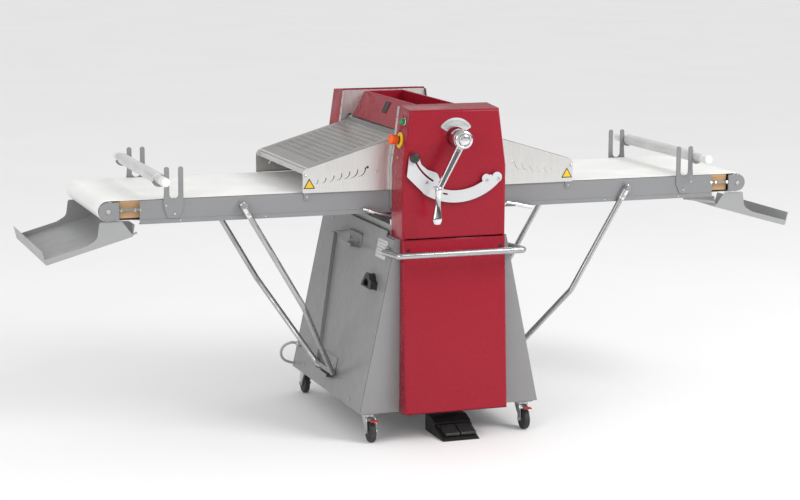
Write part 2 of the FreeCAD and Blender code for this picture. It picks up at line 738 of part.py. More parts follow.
def square(y_low, z_low, y_high, z_high):
    return [(y_low, z_low), (y_high, z_low), (y_high, z_high), (y_low, z_high)]


def strut_brackets():
    """On each side: a folded catch at the top, a step at the foot and a channel between them."""
    pieces = []
    for side in SIDES.values():
        top = on_panel(side, square(-80, 692, 66, 747), 0.3, 3)
        roof = on_panel(side, [(-80, 744), (66, 744), (200, 716), (200, 719), (66, 747), (-80, 747)], 0.3, 20)
        shelf = on_panel(side, square(-80, 692, 66, 695), 0.3, 46)
        lip = on_panel(side, square(-80, 692, 66, 704), 43, 46)
        pieces.append(top.fuse([roof, shelf, lip]).removeSplitter())
        low = on_panel(side, square(-82, 174, 77, 256), 0.3, 3)
        shelf = on_panel(side, square(-82, 174, 77, 177), 0.3, 36)
        lip = on_panel(side, square(-82, 174, 77, 187), 34, 36)
        pieces.append(low.fuse([shelf, lip]).removeSplitter())
        pieces.append(on_panel(side, [(118, 174), (162, 174), (268, 705), (224, 705)], 0.3, 14))
    shaped("strut_brackets", Part.makeCompound(pieces))


def cable_fittings():
    holder = on_panel(-1, [(-350, 576), (-232, 570), (-246, 612), (-280, 626), (-345, 627)], 0.3, 26)
    notch = on_panel(-1, square(-322, 588, -262, 608), 8, 30)
    shaped("cable_holder", holder.cut(notch))
    out = Vector(-1, 0, slope).normalize()
    start = Vector(-panel_x(216), 392, 216) + out * 0.3
    gland = Part.makeCylinder(13, 22, start, out)
    loop = tube([start + out * 12, start + out * 62, (-402, 240, 96), (-300, 150, 96)], 5.5, 30)
    shaped("mains_cable", gland.fuse(loop).removeSplitter())


def bumper_rail():
    """Round bar across the front, on a flange at each side of the base."""
    ends = [(-panel_x(727) - 3.5, -381, 727), (-254, -381, 727), (-254, -550, 737)]
    path = ends + [(-x, y, z) for x, y, z in reversed(ends)]
    shape = tube(path, 12.5, 14)
    for side in SIDES.values():
        shape = shape.fuse(on_panel(side, square(-399, 709, -363, 745), 0.3, 5))
    shaped("bumper_rail", shape.removeSplitter())


def direction_rod():
    """Rod with a grip at each end, which rocks on a stub in the front head plate."""
    z = v.rod_z
    path = [(-320, -330, z + 30), (-215, -330, z), (240, -330, z), (270, -330, z + 31), (374, -330, z + 6)]
    shape = tube(path, 5, 12)
    left = rod((-300, -330, 882.3), (-276, -330, 875.4), 10)
    right = rod((306, -330, 880.3), (378, -330, 863), 8)
    stub = rod((0, -342.5, z), (0, -324, z), v.rod_pivot)
    shaped("direction_rod", shape.fuse([left, right, stub]).removeSplitter())


def cover_screws():
    """Round heads on the front covers, the quadrant's spacers and the base's sides."""
    heads = []
    seam_screws = [(side * 187, 743, v.face + 3.2) for side in SIDES.values()]
    spacer_screws = [(x, z, v.face + 16) for x, z in SPACERS]
    for x, z, reach in seam_screws + spacer_screws:
        head = Part.makeCylinder(6, 3.5, Vector(x, -reach, z), Vector(0, -1, 0))
        heads.append(head.makeChamfer(1, [head.Edges[0]]))
    for y, z in ((303, 146), (-289, 140), (303, 760), (-200, 770)):
        for side in SIDES.values():
            out = Vector(side, 0, slope).normalize()
            heads.append(Part.makeCylinder(6, 3, Vector(side * panel_x(z), y, z) + out * 0.3, out))
    shaped("cover_screws", Part.makeCompound(heads))


# ---------------------------------------------------------------- pedals and castors
PEDAL_FRONT, PEDAL_SLOPE = -515, math.radians(19.5)


def on_ramp(along, height, *radius):
    """Point (y, z) on the foot switch: a distance up its ramp and a height above it."""
    c, s = math.cos(PEDAL_SLOPE), math.sin(PEDAL_SLOPE)
    return (PEDAL_FRONT + along * c - height * s, along * s + height * c, *radius)


def pedals():
    """Wedge-shaped foot switch on the floor, with two pads hinged on one pin."""
    base = Piece("pedal_base")
    low, high, back, top = -56, 94, -320, 68
    wedge = [(PEDAL_FRONT - 1, 0), on_ramp(2, 2), on_ramp(104, 2), on_ramp(104, 17, 3), on_ramp(156, 17, 6)]
    base.pad("YZ", f"{low}", f"{high}", outline(*wedge, (back, top, 6), (back, 0)))
    for inner, outer in ((-45, -40), (19, 23), (87, 92)):
        ear = outline(on_ramp(84, 1), on_ramp(98, 1), on_ramp(98, 16, 5), on_ramp(84, 16, 5))
        base.pad("YZ", f"{inner}", f"{outer}", ear)
    hinge = on_ramp(91, 10)
    base.pad("YZ", "-45", "92", circle(*hinge, 3))
    base.pad("XY", f"{top - 2}", "base_low", rectangle(8, back - 30, 38, back - 10))
    for name, inner, outer in (("left", -39, 18), ("right", 24, 86)):
        under = [on_ramp(21, 8, 2), on_ramp(88, 5, 4), on_ramp(96, 6, 4)]
        over = [on_ramp(97, 14, 4), on_ramp(80, 17, 6), on_ramp(24, 20, 5), on_ramp(20, 14, 2)]
        pad = outline(*under, *over)
        Piece(f"pedal_{name}").pad("YZ", f"{inner}", f"{outer}", pad, circle(*hinge, 3.06))


def castor(name, x, y, away):
    """Swivel fork and wheel; the wheel trails towards the outside of the base."""
    swivel_y = y - away * 30
    stem = Part.makeCylinder(8, 18, Vector(x, swivel_y, 94))
    crown = Part.makeCylinder(27, 8, Vector(x, swivel_y, 97.5))
    shape = stem.fuse(crown)
    for low in (-17, 14):
        outer = [(swivel_y - away * 22, 100), (swivel_y + away * 22, 100)]
        outer += [(y + away * 10, 36), (y - away * 8, 30)]
        points = [Vector(x + low, py, pz) for py, pz in outer]
        shape = shape.fuse(Part.Face(Part.makePolygon(points + points[:1])).extrude(Vector(3, 0, 0)))
    shape = shape.fuse(Part.makeCylinder(5, 36, Vector(x - 18, y, v.wheel), Vector(1, 0, 0)))
    brake = [(swivel_y + away * 14, 98), (swivel_y + away * 14, 94), (y + away * 34, 84), (y + away * 36, 89)]
    points = [Vector(x - 11, py, pz) for py, pz in brake]
    shape = shape.fuse(Part.Face(Part.makePolygon(points + points[:1])).extrude(Vector(22, 0, 0)))
    shaped(f"castor_fork_{name}", shape.removeSplitter())
    wheel = Piece(f"castor_wheel_{name}")
    rim = v.wheel
    half = [(-12, 5.05), (-12, 27), (-9, 28), (-12, 30), (-11, rim, 5)]
    half += [(-along, *rest) for along, *rest in reversed(half)]
    profile = [(along + x, *rest) for along, *rest in half]
    wheel.turn("X", (f"{y}", f"{rim}"), profile)


def castors():
    for end, away in (("front", -1), ("rear", 1)):
        for name, side in SIDES.items():
            castor(f"{end}_{name}", side * v.castor_x, away * v.castor_y, away)


base_frame()
side_panels()
lower_front_cover()
upper_front_cover()
upper_rear_cover()
head_plates()
roller_hood()
flour_trough()
scale_plate()
quadrant_plate()
stop_knob()
adjusting_lever()
buttons()
rollers()
drive_chain()
roller_carriage()
scrapers()
drive_motor()
control_box()
for table_name, table_side in SIDES.items():
    for make in (table_frame, table_bed, belt, pin_holders, rolling_pin, strut, catch_pan, guard):
        make(table_name, table_side)
strut_brackets()
cable_fittings()
bumper_rail()
direction_rod()
cover_screws()
pedals()
castors()

doc.recompute()
failed = [o.Name for o in doc.Objects if "Invalid" in o.State or "Error" in o.State]
for item in parts:
    if item.Shape.isNull() or not item.Shape.isValid() or not item.Shape.Solids:
        failed.append(item.Label)
if failed:
    raise RuntimeError("failed: " + ", ".join(failed))
os.makedirs("parts", exist_ok=True)
for item in parts:
    item.Shape.exportStep(f"parts/{item.Label}.step")
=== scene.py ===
import json
import math

import bmesh
import bpy
from mathutils import Matrix, Vector

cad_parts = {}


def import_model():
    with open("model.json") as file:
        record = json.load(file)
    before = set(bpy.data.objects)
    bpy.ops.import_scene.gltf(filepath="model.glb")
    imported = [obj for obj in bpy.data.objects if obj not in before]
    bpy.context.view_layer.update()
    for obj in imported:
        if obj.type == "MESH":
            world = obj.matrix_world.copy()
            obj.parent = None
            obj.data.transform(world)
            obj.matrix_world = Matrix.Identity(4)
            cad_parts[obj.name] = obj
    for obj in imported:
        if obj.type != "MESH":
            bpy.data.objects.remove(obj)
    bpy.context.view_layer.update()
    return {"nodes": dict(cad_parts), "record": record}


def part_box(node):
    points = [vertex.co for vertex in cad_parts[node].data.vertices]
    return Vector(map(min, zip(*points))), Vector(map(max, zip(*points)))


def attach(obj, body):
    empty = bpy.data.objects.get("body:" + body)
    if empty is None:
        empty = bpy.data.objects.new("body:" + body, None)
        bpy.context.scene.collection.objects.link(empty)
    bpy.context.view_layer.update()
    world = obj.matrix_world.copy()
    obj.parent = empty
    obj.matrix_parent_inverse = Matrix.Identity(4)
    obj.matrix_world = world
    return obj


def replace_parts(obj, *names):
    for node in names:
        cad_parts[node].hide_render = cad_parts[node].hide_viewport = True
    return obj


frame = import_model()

NODES = frame["nodes"]
JOINTS = {joint["name"]: joint for joint in frame["record"]["behaviour"]["joints"]}
TABLES = (("left", -1), ("right", 1))
ACROSS = Vector((0, 1, 0))
MM = 0.001

# The belts' centre line, which every depth is measured from
BELT_LOW, BELT_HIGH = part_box("belt_right")
BELT_Y = (BELT_LOW.y + BELT_HIGH.y) / 2


def joint_at(name):
    return Vector(JOINTS[name]["pos_m"])


# ------------------------------------------------------------------ node materials
class Shader:
    """A small builder for one procedural material."""

    def __init__(self, name):
        self.material = bpy.data.materials.new(name)
        self.material.use_nodes = True
        self.tree = self.material.node_tree
        self.surface = self.tree.nodes["Principled BSDF"]
        self.coords = self.tree.nodes.new("ShaderNodeTexCoord").outputs["Object"]

    def add(self, kind, inputs=None, **settings):
        node = self.tree.nodes.new("ShaderNode" + kind)
        for key, value in settings.items():
            setattr(node, key, value)
        for key, value in (inputs or {}).items():
            if isinstance(value, bpy.types.NodeSocket):
                self.tree.links.new(value, node.inputs[key])
            else:
                node.inputs[key].default_value = value
        return node

    def stretch(self, scale, turn=(0, 0, 0)):
        return self.add("Mapping", {"Vector": self.coords, "Scale": scale, "Rotation": turn}).outputs[0]

    def noise(self, scale, detail=3, stretch=None, rough=0.5):
        vector = self.stretch(stretch) if stretch else self.coords
        inputs = {"Vector": vector, "Scale": scale, "Detail": detail, "Roughness": rough}
        return self.add("TexNoise", inputs).outputs["Fac"]

    def span(self, value, low, high, to_low=0.0, to_high=1.0):
        inputs = {"Value": value, "From Min": low, "From Max": high, "To Min": to_low, "To Max": to_high}
        return self.add("MapRange", inputs).outputs[0]

    def maths(self, operation, a, b=0.5, clamp=False):
        return self.add("Math", {0: a, 1: b}, operation=operation, use_clamp=clamp).outputs[0]

    def mix(self, share, a, b):
        node = self.add("Mix", data_type="RGBA")
        for socket, value in ((0, share), (6, a), (7, b)):
            if isinstance(value, bpy.types.NodeSocket):
                self.tree.links.new(value, node.inputs[socket])
            else:
                node.inputs[socket].default_value = value if socket == 0 else (*value[:3], 1)
        return node.outputs[2]

    def axis(self, name):
        return self.add("SeparateXYZ", {0: self.coords}).outputs[name]

    def edge(self, radius=1.5 * MM, reach=0.25):
        """1 along sharp edges and 0 on flats."""
        bevel = self.add("Bevel", {"Radius": radius}, samples=4).outputs[0]
        flat = self.add("NewGeometry").outputs["Normal"]
        dot = self.add("VectorMath", {0: bevel, 1: flat}, operation="DOT_PRODUCT").outputs["Value"]
        return self.span(dot, 0.98, 0.98 - reach)

    def bump(self, height, strength=0.2, distance=0.4 * MM):
        normal = self.surface.inputs["Normal"]
        inputs = {"Height": height, "Strength": strength, "Distance": distance}
        if normal.links:
            inputs["Normal"] = normal.links[0].from_socket
        self.set("Normal", self.add("Bump", inputs).outputs[0])

    def set(self, name, value):
        socket = self.surface.inputs[name]
        if isinstance(value, bpy.types.NodeSocket):
            self.tree.links.new(value, socket)
        else:
            socket.default_value = value


def shade(colour, factor):
    return tuple(min(1, c * factor) for c in colour)


def paint(name, colour, rough=0.35, coat=0.0, wear=(0.5, 0.5, 0.5), wear_share=0.5, peel=0.05, dirt=0.06,
          gloss=0.4):
    """Sprayed metal: orange peel, slight shade drift, rubbed edges and a light film of dust."""
    s = Shader(name)
    drift = s.noise(2.2, 4)
    fine = s.noise(60, 3)
    tone = s.mix(s.span(drift, 0.3, 0.7), shade(colour, 1 - dirt), shade(colour, 1 + dirt))
    tone = s.mix(s.span(fine, 0.4, 0.8, 0, 0.05), tone, shade(colour, 0.85))
    rub = s.maths("MULTIPLY", s.edge(1.2 * MM), s.span(s.noise(90, 5), 0.45, 0.62), True)
    rub = s.maths("MULTIPLY", rub, wear_share)
    s.set("Base Color", s.mix(rub, tone, wear))
    s.set("Roughness", s.span(s.noise(25, 5), 0.3, 0.75, rough * 0.85, rough * 1.25))
    s.set("Specular IOR Level", gloss)
    s.set("Coat Weight", coat)
    s.set("Coat Roughness", 0.04)
    s.bump(s.noise(420, 2), peel, 0.3 * MM)
    s.bump(s.noise(1400, 2), peel * 0.5, 0.1 * MM)
    return s.material


def brushed(name, colour, rough=0.3, along="X", grain=0.18, stain=0.1):
    """Brushed metal: fine lines along an axis, with soft stains and finger marks."""
    s = Shader(name)
    scale = {"X": (3, 260, 260), "Y": (260, 3, 260), "Z": (260, 260, 3)}[along]
    lines = s.noise(4.0, 6, scale, 0.65)
    s.set("Metallic", 1.0)
    tone = s.mix(s.span(lines, 0.35, 0.65), shade(colour, 0.9), shade(colour, 1.05))
    marks = s.span(s.noise(7, 5), 0.5, 0.75, 0, stain)
    s.set("Base Color", s.mix(marks, tone, shade(colour, 0.6)))
    s.set("Roughness", s.maths("ADD", s.span(lines, 0.3, 0.7, rough * 0.8, rough * 1.2), marks))
    s.set("Anisotropic", 0.4)
    s.bump(lines, grain, 0.06 * MM)
    return s.material


def polished(name, colour=(0.78, 0.78, 0.79), rough=0.1):
    """Chrome with faint smears and micro scratches."""
    s = Shader(name)
    smear = s.noise(14, 5)
    s.set("Metallic", 1.0)
    s.set("Base Color", s.mix(s.span(smear, 0.4, 0.7), colour, shade(colour, 0.86)))
    s.set("Roughness", s.span(smear, 0.35, 0.75, rough * 0.6, rough * 2.2))
    s.bump(s.noise(30, 4, (40, 8, 40)), 0.04, 0.05 * MM)
    return s.material


def moulded(name, colour, rough=0.45, grain=0.25, size=900):
    """Moulded plastic or rubber with a fine spark grain and scuffs."""
    s = Shader(name)
    scuff = s.span(s.noise(35, 6), 0.55, 0.7)
    tone = s.mix(s.span(s.noise(8, 3), 0.3, 0.7), shade(colour, 0.85), shade(colour, 1.15))
    pale = tuple(min(1, c + 0.08) for c in colour)
    s.set("Base Color", s.mix(s.maths("MULTIPLY", scuff, 0.25), tone, pale))
    s.set("Roughness", s.span(scuff, 0, 1, rough, min(1, rough + 0.2)))
    s.bump(s.noise(size, 2), grain, 0.12 * MM)
    return s.material


def belt_cloth():
    """Coated cotton belt: fine weave under a smooth white face, dusted with flour."""
    s = Shader("belt_cloth")
    threads = {"Vector": s.coords, "Scale": 420, "Distortion": 0.4}
    warp = s.add("TexWave", threads, bands_direction="X").outputs[1]
    weft = s.add("TexWave", threads, bands_direction="Y").outputs[1]
    weave = s.maths("MULTIPLY", warp, weft)
    dust = s.span(s.noise(9, 6), 0.45, 0.7)
    tone = s.mix(s.span(weave, 0, 1, 0, 0.25), (0.86, 0.86, 0.84), (0.72, 0.72, 0.70))
    s.set("Base Color", s.mix(s.maths("MULTIPLY", dust, 0.5), tone, (0.92, 0.91, 0.88)))
    s.set("Roughness", s.span(dust, 0, 1, 0.42, 0.7))
    s.set("Sheen Weight", 0.15)
    s.bump(weave, 0.18, 0.2 * MM)
    s.bump(s.noise(40, 4), 0.08, 0.5 * MM)
    return s.material


def plywood():
    """Birch plywood: face grain along the table and dark glue lines on the edges."""
    s = Shader("plywood")
    grain = s.noise(6, 6, (2, 40, 300))
    layers = {"Vector": s.stretch((1, 1, 1)), "Scale": 120, "Distortion": 0.3}
    rings = s.add("TexWave", layers, bands_direction="Z")
    tone = s.mix(s.span(grain, 0.35, 0.65), (0.58, 0.38, 0.20), (0.42, 0.25, 0.12))
    s.set("Base Color", s.mix(s.span(rings.outputs[1], 0.4, 0.9, 0, 0.5), tone, (0.24, 0.13, 0.06)))
    s.set("Roughness", s.span(grain, 0.3, 0.7, 0.45, 0.65))
    s.bump(grain, 0.2, 0.2 * MM)
    return s.material


def rolling_pin_plastic():
    """Grey tube with off-white handles beyond the tube's ends."""
    s = Shader("rolling_pin")
    low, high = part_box("rolling_pin_left")
    tube_half = 0.88 * (high.y - low.y) / 2
    away = s.maths("ABSOLUTE", s.maths("SUBTRACT", s.axis("Y"), BELT_Y))
    handle = s.maths("GREATER_THAN", away, tube_half)
    swirl = s.noise(30, 5, (1, 0.2, 1))
    tube = s.mix(s.span(swirl, 0.35, 0.7), (0.55, 0.56, 0.56), (0.66, 0.66, 0.65))
    s.set("Base Color", s.mix(handle, tube, (0.80, 0.79, 0.75)))
    s.set("Roughness", s.span(swirl, 0.3, 0.7, 0.3, 0.45))
    s.bump(s.noise(500, 3), 0.12, 0.1 * MM)
    return s.material


RED = (0.30, 0.010, 0.024)
GREY = (0.25, 0.25, 0.255)
STEEL = (0.70, 0.70, 0.69)

MATERIALS = {
    "grey_paint": paint("grey_paint", GREY, 0.38, 0.1, (0.5, 0.5, 0.5), 0.4),
    "red_paint": paint("red_paint", RED, 0.26, 0.06, (0.5, 0.2, 0.2), 0.1, 0.006, 0.03, 0.2),
    "stainless": brushed("stainless", STEEL, 0.3, "X"),
    "rail_metal": paint("rail_metal", (0.24, 0.243, 0.25), 0.34, 0.05, (0.5, 0.5, 0.5), 0.3),
    "white_enamel": paint("white_enamel", (0.58, 0.583, 0.60), 0.35, 0.05, (0.4, 0.4, 0.4), 0.3),
    "chrome": polished("chrome"),
    "ground_steel": brushed("ground_steel", (0.62, 0.62, 0.62), 0.22, "Y"),
    "dark_steel": brushed("dark_steel", (0.16, 0.16, 0.17), 0.4, "Z"),
    "motor_grey": paint("motor_grey", (0.12, 0.14, 0.17), 0.5),
    "black_plastic": moulded("black_plastic", (0.02, 0.02, 0.02), 0.42),
    "black_paint": paint("black_paint", (0.018, 0.018, 0.018), 0.5, 0.0, (0.2, 0.2, 0.2), 0.5, 0.12),
    "yellow_plastic": moulded("yellow_plastic", (0.76, 0.50, 0.012), 0.35, 0.1),
    "green_plastic": moulded("green_plastic", (0.01, 0.28, 0.08), 0.3, 0.08),
    "orange_plastic": moulded("orange_plastic", (0.75, 0.10, 0.01), 0.3, 0.08),
    "belt_cloth": belt_cloth(),
    "plywood": plywood(),
    "pin_plastic": rolling_pin_plastic(),
    "pan_grey": paint("pan_grey", (0.33, 0.332, 0.335), 0.38, 0.05, (0.5, 0.5, 0.5), 0.3),
    "cable_rubber": moulded("cable_rubber", (0.40, 0.40, 0.41), 0.55, 0.3, 600),
    "zinc_steel": brushed("zinc_steel", (0.6, 0.61, 0.62), 0.32, "Z", 0.1),
    "wheel_rubber": moulded("wheel_rubber", (0.025, 0.025, 0.027), 0.6, 0.4, 500),
    # Finishes that are variants of a slot, and copies of a slot's metal that carry painted light, painted
    # shade and a painted reflection in their colour
    "satin_tube": polished("satin_tube", (0.50, 0.50, 0.505), 0.24),
    "satin_plate": brushed("satin_plate", (0.80, 0.79, 0.78), 0.5, "Z", 0.12, 0.06),
    # Painted shade: a darker copy of the stainless for the guards' slotted tops, standing in for their dark
    # reflections
    "stainless_painted_shade": brushed("stainless_painted_shade", (0.40, 0.385, 0.375), 0.3, "Y", 0.15, 0.12),
    # Painted light: a lighter copy of the stainless for the guards' cheeks and the head's trims, standing in
    # for their highlights
    "stainless_painted_light": brushed("stainless_painted_light", (0.78, 0.77, 0.75), 0.34, "Z", 0.12, 0.06),
    # Painted reflection: a darker chrome with a red tint for the lever's sleeve, standing in for the red
    # cover mirrored in it
    "chrome_painted_red_reflection": polished("chrome_painted_red_reflection", (0.62, 0.60, 0.61), 0.12),
    "scale_silver": brushed("scale_silver", (0.66, 0.67, 0.67), 0.42, "X", 0.1, 0.08),
    "brake_red": moulded("brake_red", (0.42, 0.02, 0.02), 0.4, 0.12),
}


# ------------------------------------------------------------------ carried-over CAD nodes
def soften(node, width):
    """Rounds a node's sharp edges a little, so that they catch the light."""
    weld = node.modifiers.new("weld", "WELD")
    weld.merge_threshold = 0.00002
    if width:
        bevel = node.modifiers.new("bevel", "BEVEL")
        bevel.width = width
        bevel.segments = 2
        bevel.limit_method = "ANGLE"
        bevel.angle_limit = math.radians(38)
        bevel.use_clamp_overlap = True
    for polygon in node.data.polygons:
        polygon.use_smooth = True
    normals = node.modifiers.new("normals", "WEIGHTED_NORMAL")
    normals.keep_sharp = True


FINISHES = {
    "strut_left": "satin_tube",
    "strut_right": "satin_tube",
    "bumper_rail": "satin_tube",
    "head_plates": "satin_plate",
}
ROUNDED_IN_CAD = ("upper_front_cover", "upper_rear_cover", "lower_front_cover")
for part in frame["record"]["subparts"]:
    cad = NODES[part["node"]]
    cad.data.materials.clear()
    cad.data.materials.append(MATERIALS[FINISHES.get(part["node"], part["material_slot"])])
    soften(cad, 0 if part["node"] in ROUNDED_IN_CAD else 0.5 * MM)


# ------------------------------------------------------------------ mesh helpers
def piece(name, mesh, body, slot, finish_or_painted_light=None):
    """Links a finished mesh as a piece that rides on a body and takes a slot's material, or another one: a
    variant surface, or a copy with painted light, painted shade or a painted reflection.
    """
    obj = bpy.data.objects.new(name, mesh)
    bpy.context.scene.collection.objects.link(obj)
    mesh.materials.clear()
    mesh.materials.append(MATERIALS[finish_or_painted_light or slot])
    for polygon in mesh.polygons:
        polygon.use_smooth = True
    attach(obj, body)
    return obj


def sharpen(obj, width=0.0, angle=35):
    """Keeps flats flat: a small bevel on sharp edges, with weighted normals."""
    if width:
        bevel = obj.modifiers.new("bevel", "BEVEL")
        bevel.width = width
        bevel.segments = 2
        bevel.limit_method = "ANGLE"
        bevel.angle_limit = math.radians(angle)
    obj.data.set_sharp_from_angle(angle=math.radians(angle))
    obj.modifiers.new("normals", "WEIGHTED_NORMAL").keep_sharp = True
    return obj


def skin(name, verts, faces):
    """Mesh from points and faces, with its normals outwards."""
    mesh = bpy.data.meshes.new(name)
    mesh.from_pydata(verts, [], faces)
    form = bmesh.new()
    form.from_mesh(mesh)
    bmesh.ops.recalc_face_normals(form, faces=form.faces)
    form.to_mesh(mesh)
    form.free()
    return mesh


def settled(name, form, place):
    """Mesh from a finished form, with its normals outwards, moved into place."""
    bmesh.ops.recalc_face_normals(form, faces=form.faces)
    mesh = bpy.data.meshes.new(name)
    form.to_mesh(mesh)
    form.free()
    mesh.transform(place)
    return mesh


def plate_mesh(name, loops, thickness, place, rounding=0.3 * MM):
    """Sheet with real holes: its outline and then its holes, in metres in the plate's plane."""
    curve = bpy.data.curves.new(name, "CURVE")
    curve.dimensions = "2D"
    curve.fill_mode = "BOTH"
    curve.extrude = thickness / 2 - rounding
    curve.bevel_depth = rounding
    curve.bevel_resolution = 1
    curve.offset = -rounding
    for loop in loops:
        spline = curve.splines.new("POLY")
        spline.points.add(len(loop) - 1)
        spline.points.foreach_set("co", [c for u, v in loop for c in (u, v, 0, 1)])
        spline.use_cyclic_u = True
    holder = bpy.data.objects.new(name + "_curve", curve)
    bpy.context.scene.collection.objects.link(holder)
    depsgraph = bpy.context.evaluated_depsgraph_get()
    mesh = bpy.data.meshes.new_from_object(holder.evaluated_get(depsgraph))
    bpy.data.objects.remove(holder)
    bpy.data.curves.remove(curve)
    clean = bmesh.new()
    clean.from_mesh(mesh)
    bmesh.ops.remove_doubles(clean, verts=clean.verts, dist=1e-6)
    bmesh.ops.recalc_face_normals(clean, faces=clean.faces)
    clean.to_mesh(mesh)
    clean.free()
    mesh.transform(place)
    if place.determinant() < 0:
        mesh.flip_normals()
    return mesh


def swept_mesh(name, path, section, closed_path=False):
    """Section rings placed by path frames: path is a list of (centre, across, up) and section of (a, b)."""
    rings, count = len(path), len(section)
    verts = [c + across * a + up * b for c, across, up in path for a, b in section]
    faces = []
    for i in range(rings if closed_path else rings - 1):
        for j in range(count):
            k, following = (j + 1) % count, (i + 1) % rings
            faces.append((i * count + j, i * count + k, following * count + k, following * count + j))
    if not closed_path:
        faces.append(tuple(reversed(range(count))))
        faces.append(tuple(range((rings - 1) * count, rings * count)))
    return skin(name, verts, faces)


def lofted(name, rings):
    """Skin over rings that hold the same number of points, closed at both ends."""
    count = len(rings[0])
    verts = [point for ring in rings for point in ring]
    faces = []
    for i in range(len(rings) - 1):
        for j in range(count):
            k = (j + 1) % count
            faces.append((i * count + j, i * count + k, (i + 1) * count + k, (i + 1) * count + j))
    faces.append(tuple(reversed(range(count))))
    faces.append(tuple(range((len(rings) - 1) * count, len(rings) * count)))
    return skin(name, verts, faces)


def turned_mesh(name, profile, place, steps=40):
    """Lathe form about a local Z axis; profile holds (radius, height)."""
    form = bmesh.new()
    rings = []
    for radius, height in profile:
        if radius < 1e-6:
            rings.append([form.verts.new((0, 0, height))])
            continue
        turns = [2 * math.pi * i / steps for i in range(steps)]
        rings.append([form.verts.new((radius * math.cos(t), radius * math.sin(t), height)) for t in turns])
    for a, b in zip(rings, rings[1:]):
        for i in range(steps):
            k = (i + 1) % steps
            corners = [a[i % len(a)], a[k % len(a)], b[k % len(b)], b[i % len(b)]]
            corners = list(dict.fromkeys(corners))
            if len(corners) > 2:
                form.faces.new(corners)
    return settled(name, form, place)


def hexagon_mesh(name, radius, height, place):
    """Hexagon nut about local Z, with chamfered corners."""
    form = bmesh.new()
    turns = [k * math.pi / 3 for k in range(6)]
    rings = []
    for reach, z in ((0.92, 0), (1, height * 0.12), (1, height * 0.88), (0.92, height)):
        across = radius * reach
        rings.append([form.verts.new((across * math.cos(t), across * math.sin(t), z)) for t in turns])
    for a, b in zip(rings, rings[1:]):
        for k in range(6):
            form.faces.new((a[k], a[(k + 1) % 6], b[(k + 1) % 6], b[k]))
    form.faces.new(rings[0][::-1])
    form.faces.new(rings[-1])
    return settled(name, form, place)


def turned(name, profile, place, body, slot, steps=40, finish_or_painted_light=None):
    return piece(name, turned_mesh(name, profile, place, steps), body, slot, finish_or_painted_light)


def plate(name, loops, thickness, place, body, slot, rounding=0.3 * MM, finish_or_painted_light=None):
    return piece(name, plate_mesh(name, loops, thickness, place, rounding), body, slot, finish_or_painted_light)


def nut(name, radius, height, place, body):
    return sharpen(piece(name, hexagon_mesh(name, radius, height, place), body, "ground_steel"), 0.3 * MM)


def screw(name, point, direction, radius, body, height=None, slot="ground_steel"):
    """Socket-head screw with a hexagon recess."""
    height = height or radius * 0.7
    form = bmesh.new()
    steps, rings = 24, []
    key = radius * 0.5
    profile = [(radius, 0), (radius, height * 0.75), (radius * 0.86, height), (key, height)]
    profile.append((key, height * 0.35))
    for i, (r, z) in enumerate(profile):
        ring = []
        for k in range(steps):
            t = 2 * math.pi * k / steps
            hexagon = math.cos(math.pi / 6) / math.cos((t % (math.pi / 3)) - math.pi / 6) if i > 2 else 1
            ring.append(form.verts.new((r * hexagon * math.cos(t), r * hexagon * math.sin(t), z)))
        rings.append(ring)
    for a, b in zip(rings, rings[1:]):
        for k in range(steps):
            form.faces.new((a[k], a[(k + 1) % steps], b[(k + 1) % steps], b[k]))
    form.faces.new(rings[-1])
    form.faces.new(rings[0][::-1])
    return sharpen(piece(name, settled(name, form, facing(point, direction)), body, slot))


# ------------------------------------------------------------------ lines and places
def arc_points(centre, radius, start, stop, steps):
    """Points on an arc in a plane, angles in degrees."""
    turns = [math.radians(start + (stop - start) * i / steps) for i in range(steps + 1)]
    return [(centre[0] + radius * math.cos(t), centre[1] + radius * math.sin(t)) for t in turns]


def slot_loop(centre, length, width, steps=5):
    """Round-ended slot about a centre."""
    reach, radius = (length - width) / 2, width / 2
    loop = arc_points((reach, 0), radius, -90, 90, steps) + arc_points((-reach, 0), radius, 90, 270, steps)
    return [(centre[0] + u, centre[1] + v) for u, v in loop]


def round_corners(points, radii, steps=5):
    """Closed outline with its corners rounded; a radius of 0 leaves a corner sharp."""
    loop = []
    for i, (point, radius) in enumerate(zip(points, radii)):
        corner = Vector(point)
        before = (Vector(points[i - 1]) - corner).normalized()
        after = (Vector(points[(i + 1) % len(points)]) - corner).normalized()
        if not radius:
            loop.append(tuple(corner))
            continue
        half = before.angle(after) / 2
        back = radius / math.tan(half)
        centre = corner + (before + after).normalized() * radius / math.sin(half)
        a, b = corner + before * back - centre, corner + after * back - centre
        sweep = a.angle_signed(b)
        for k in range(steps + 1):
            arm = a.copy()
            arm.rotate(Matrix.Rotation(-sweep * k / steps, 2))
            loop.append(tuple(centre + arm))
    return loop


def rounded_box(half_wide, half_high, radius):
    signs = ((-1, -1), (1, -1), (1, 1), (-1, 1))
    return round_corners([(u * half_wide, v * half_high) for u, v in signs], [radius] * 4)


def ring_of(centre, across, up, half_across, half_up, power=2.0, steps=28):
    """Points of a rounded-square ring: power 2 is an ellipse and higher is squarer."""
    points = []
    for i in range(steps):
        t = 2 * math.pi * i / steps
        c, s = math.cos(t), math.sin(t)
        a = math.copysign(abs(c) ** (2 / power), c) * half_across
        b = math.copysign(abs(s) ** (2 / power), s) * half_up
        points.append(centre + across * a + up * b)
    return points


def smooth_line(points, steps=8):
    """Rounded line through points."""
    ends = [points[0] * 2 - points[1]] + points + [points[-1] * 2 - points[-2]]
    line = []
    for a, b, c, d in zip(ends, ends[1:], ends[2:], ends[3:]):
        for i in range(steps):
            t = i / steps
            square = (a * 2 - b * 5 + c * 4 - d) * t * t
            cube = (b * 3 - a - c * 3 + d) * t * t * t
            line.append(((b * 2) + (c - a) * t + square + cube) / 2)
    return line + [points[-1]]


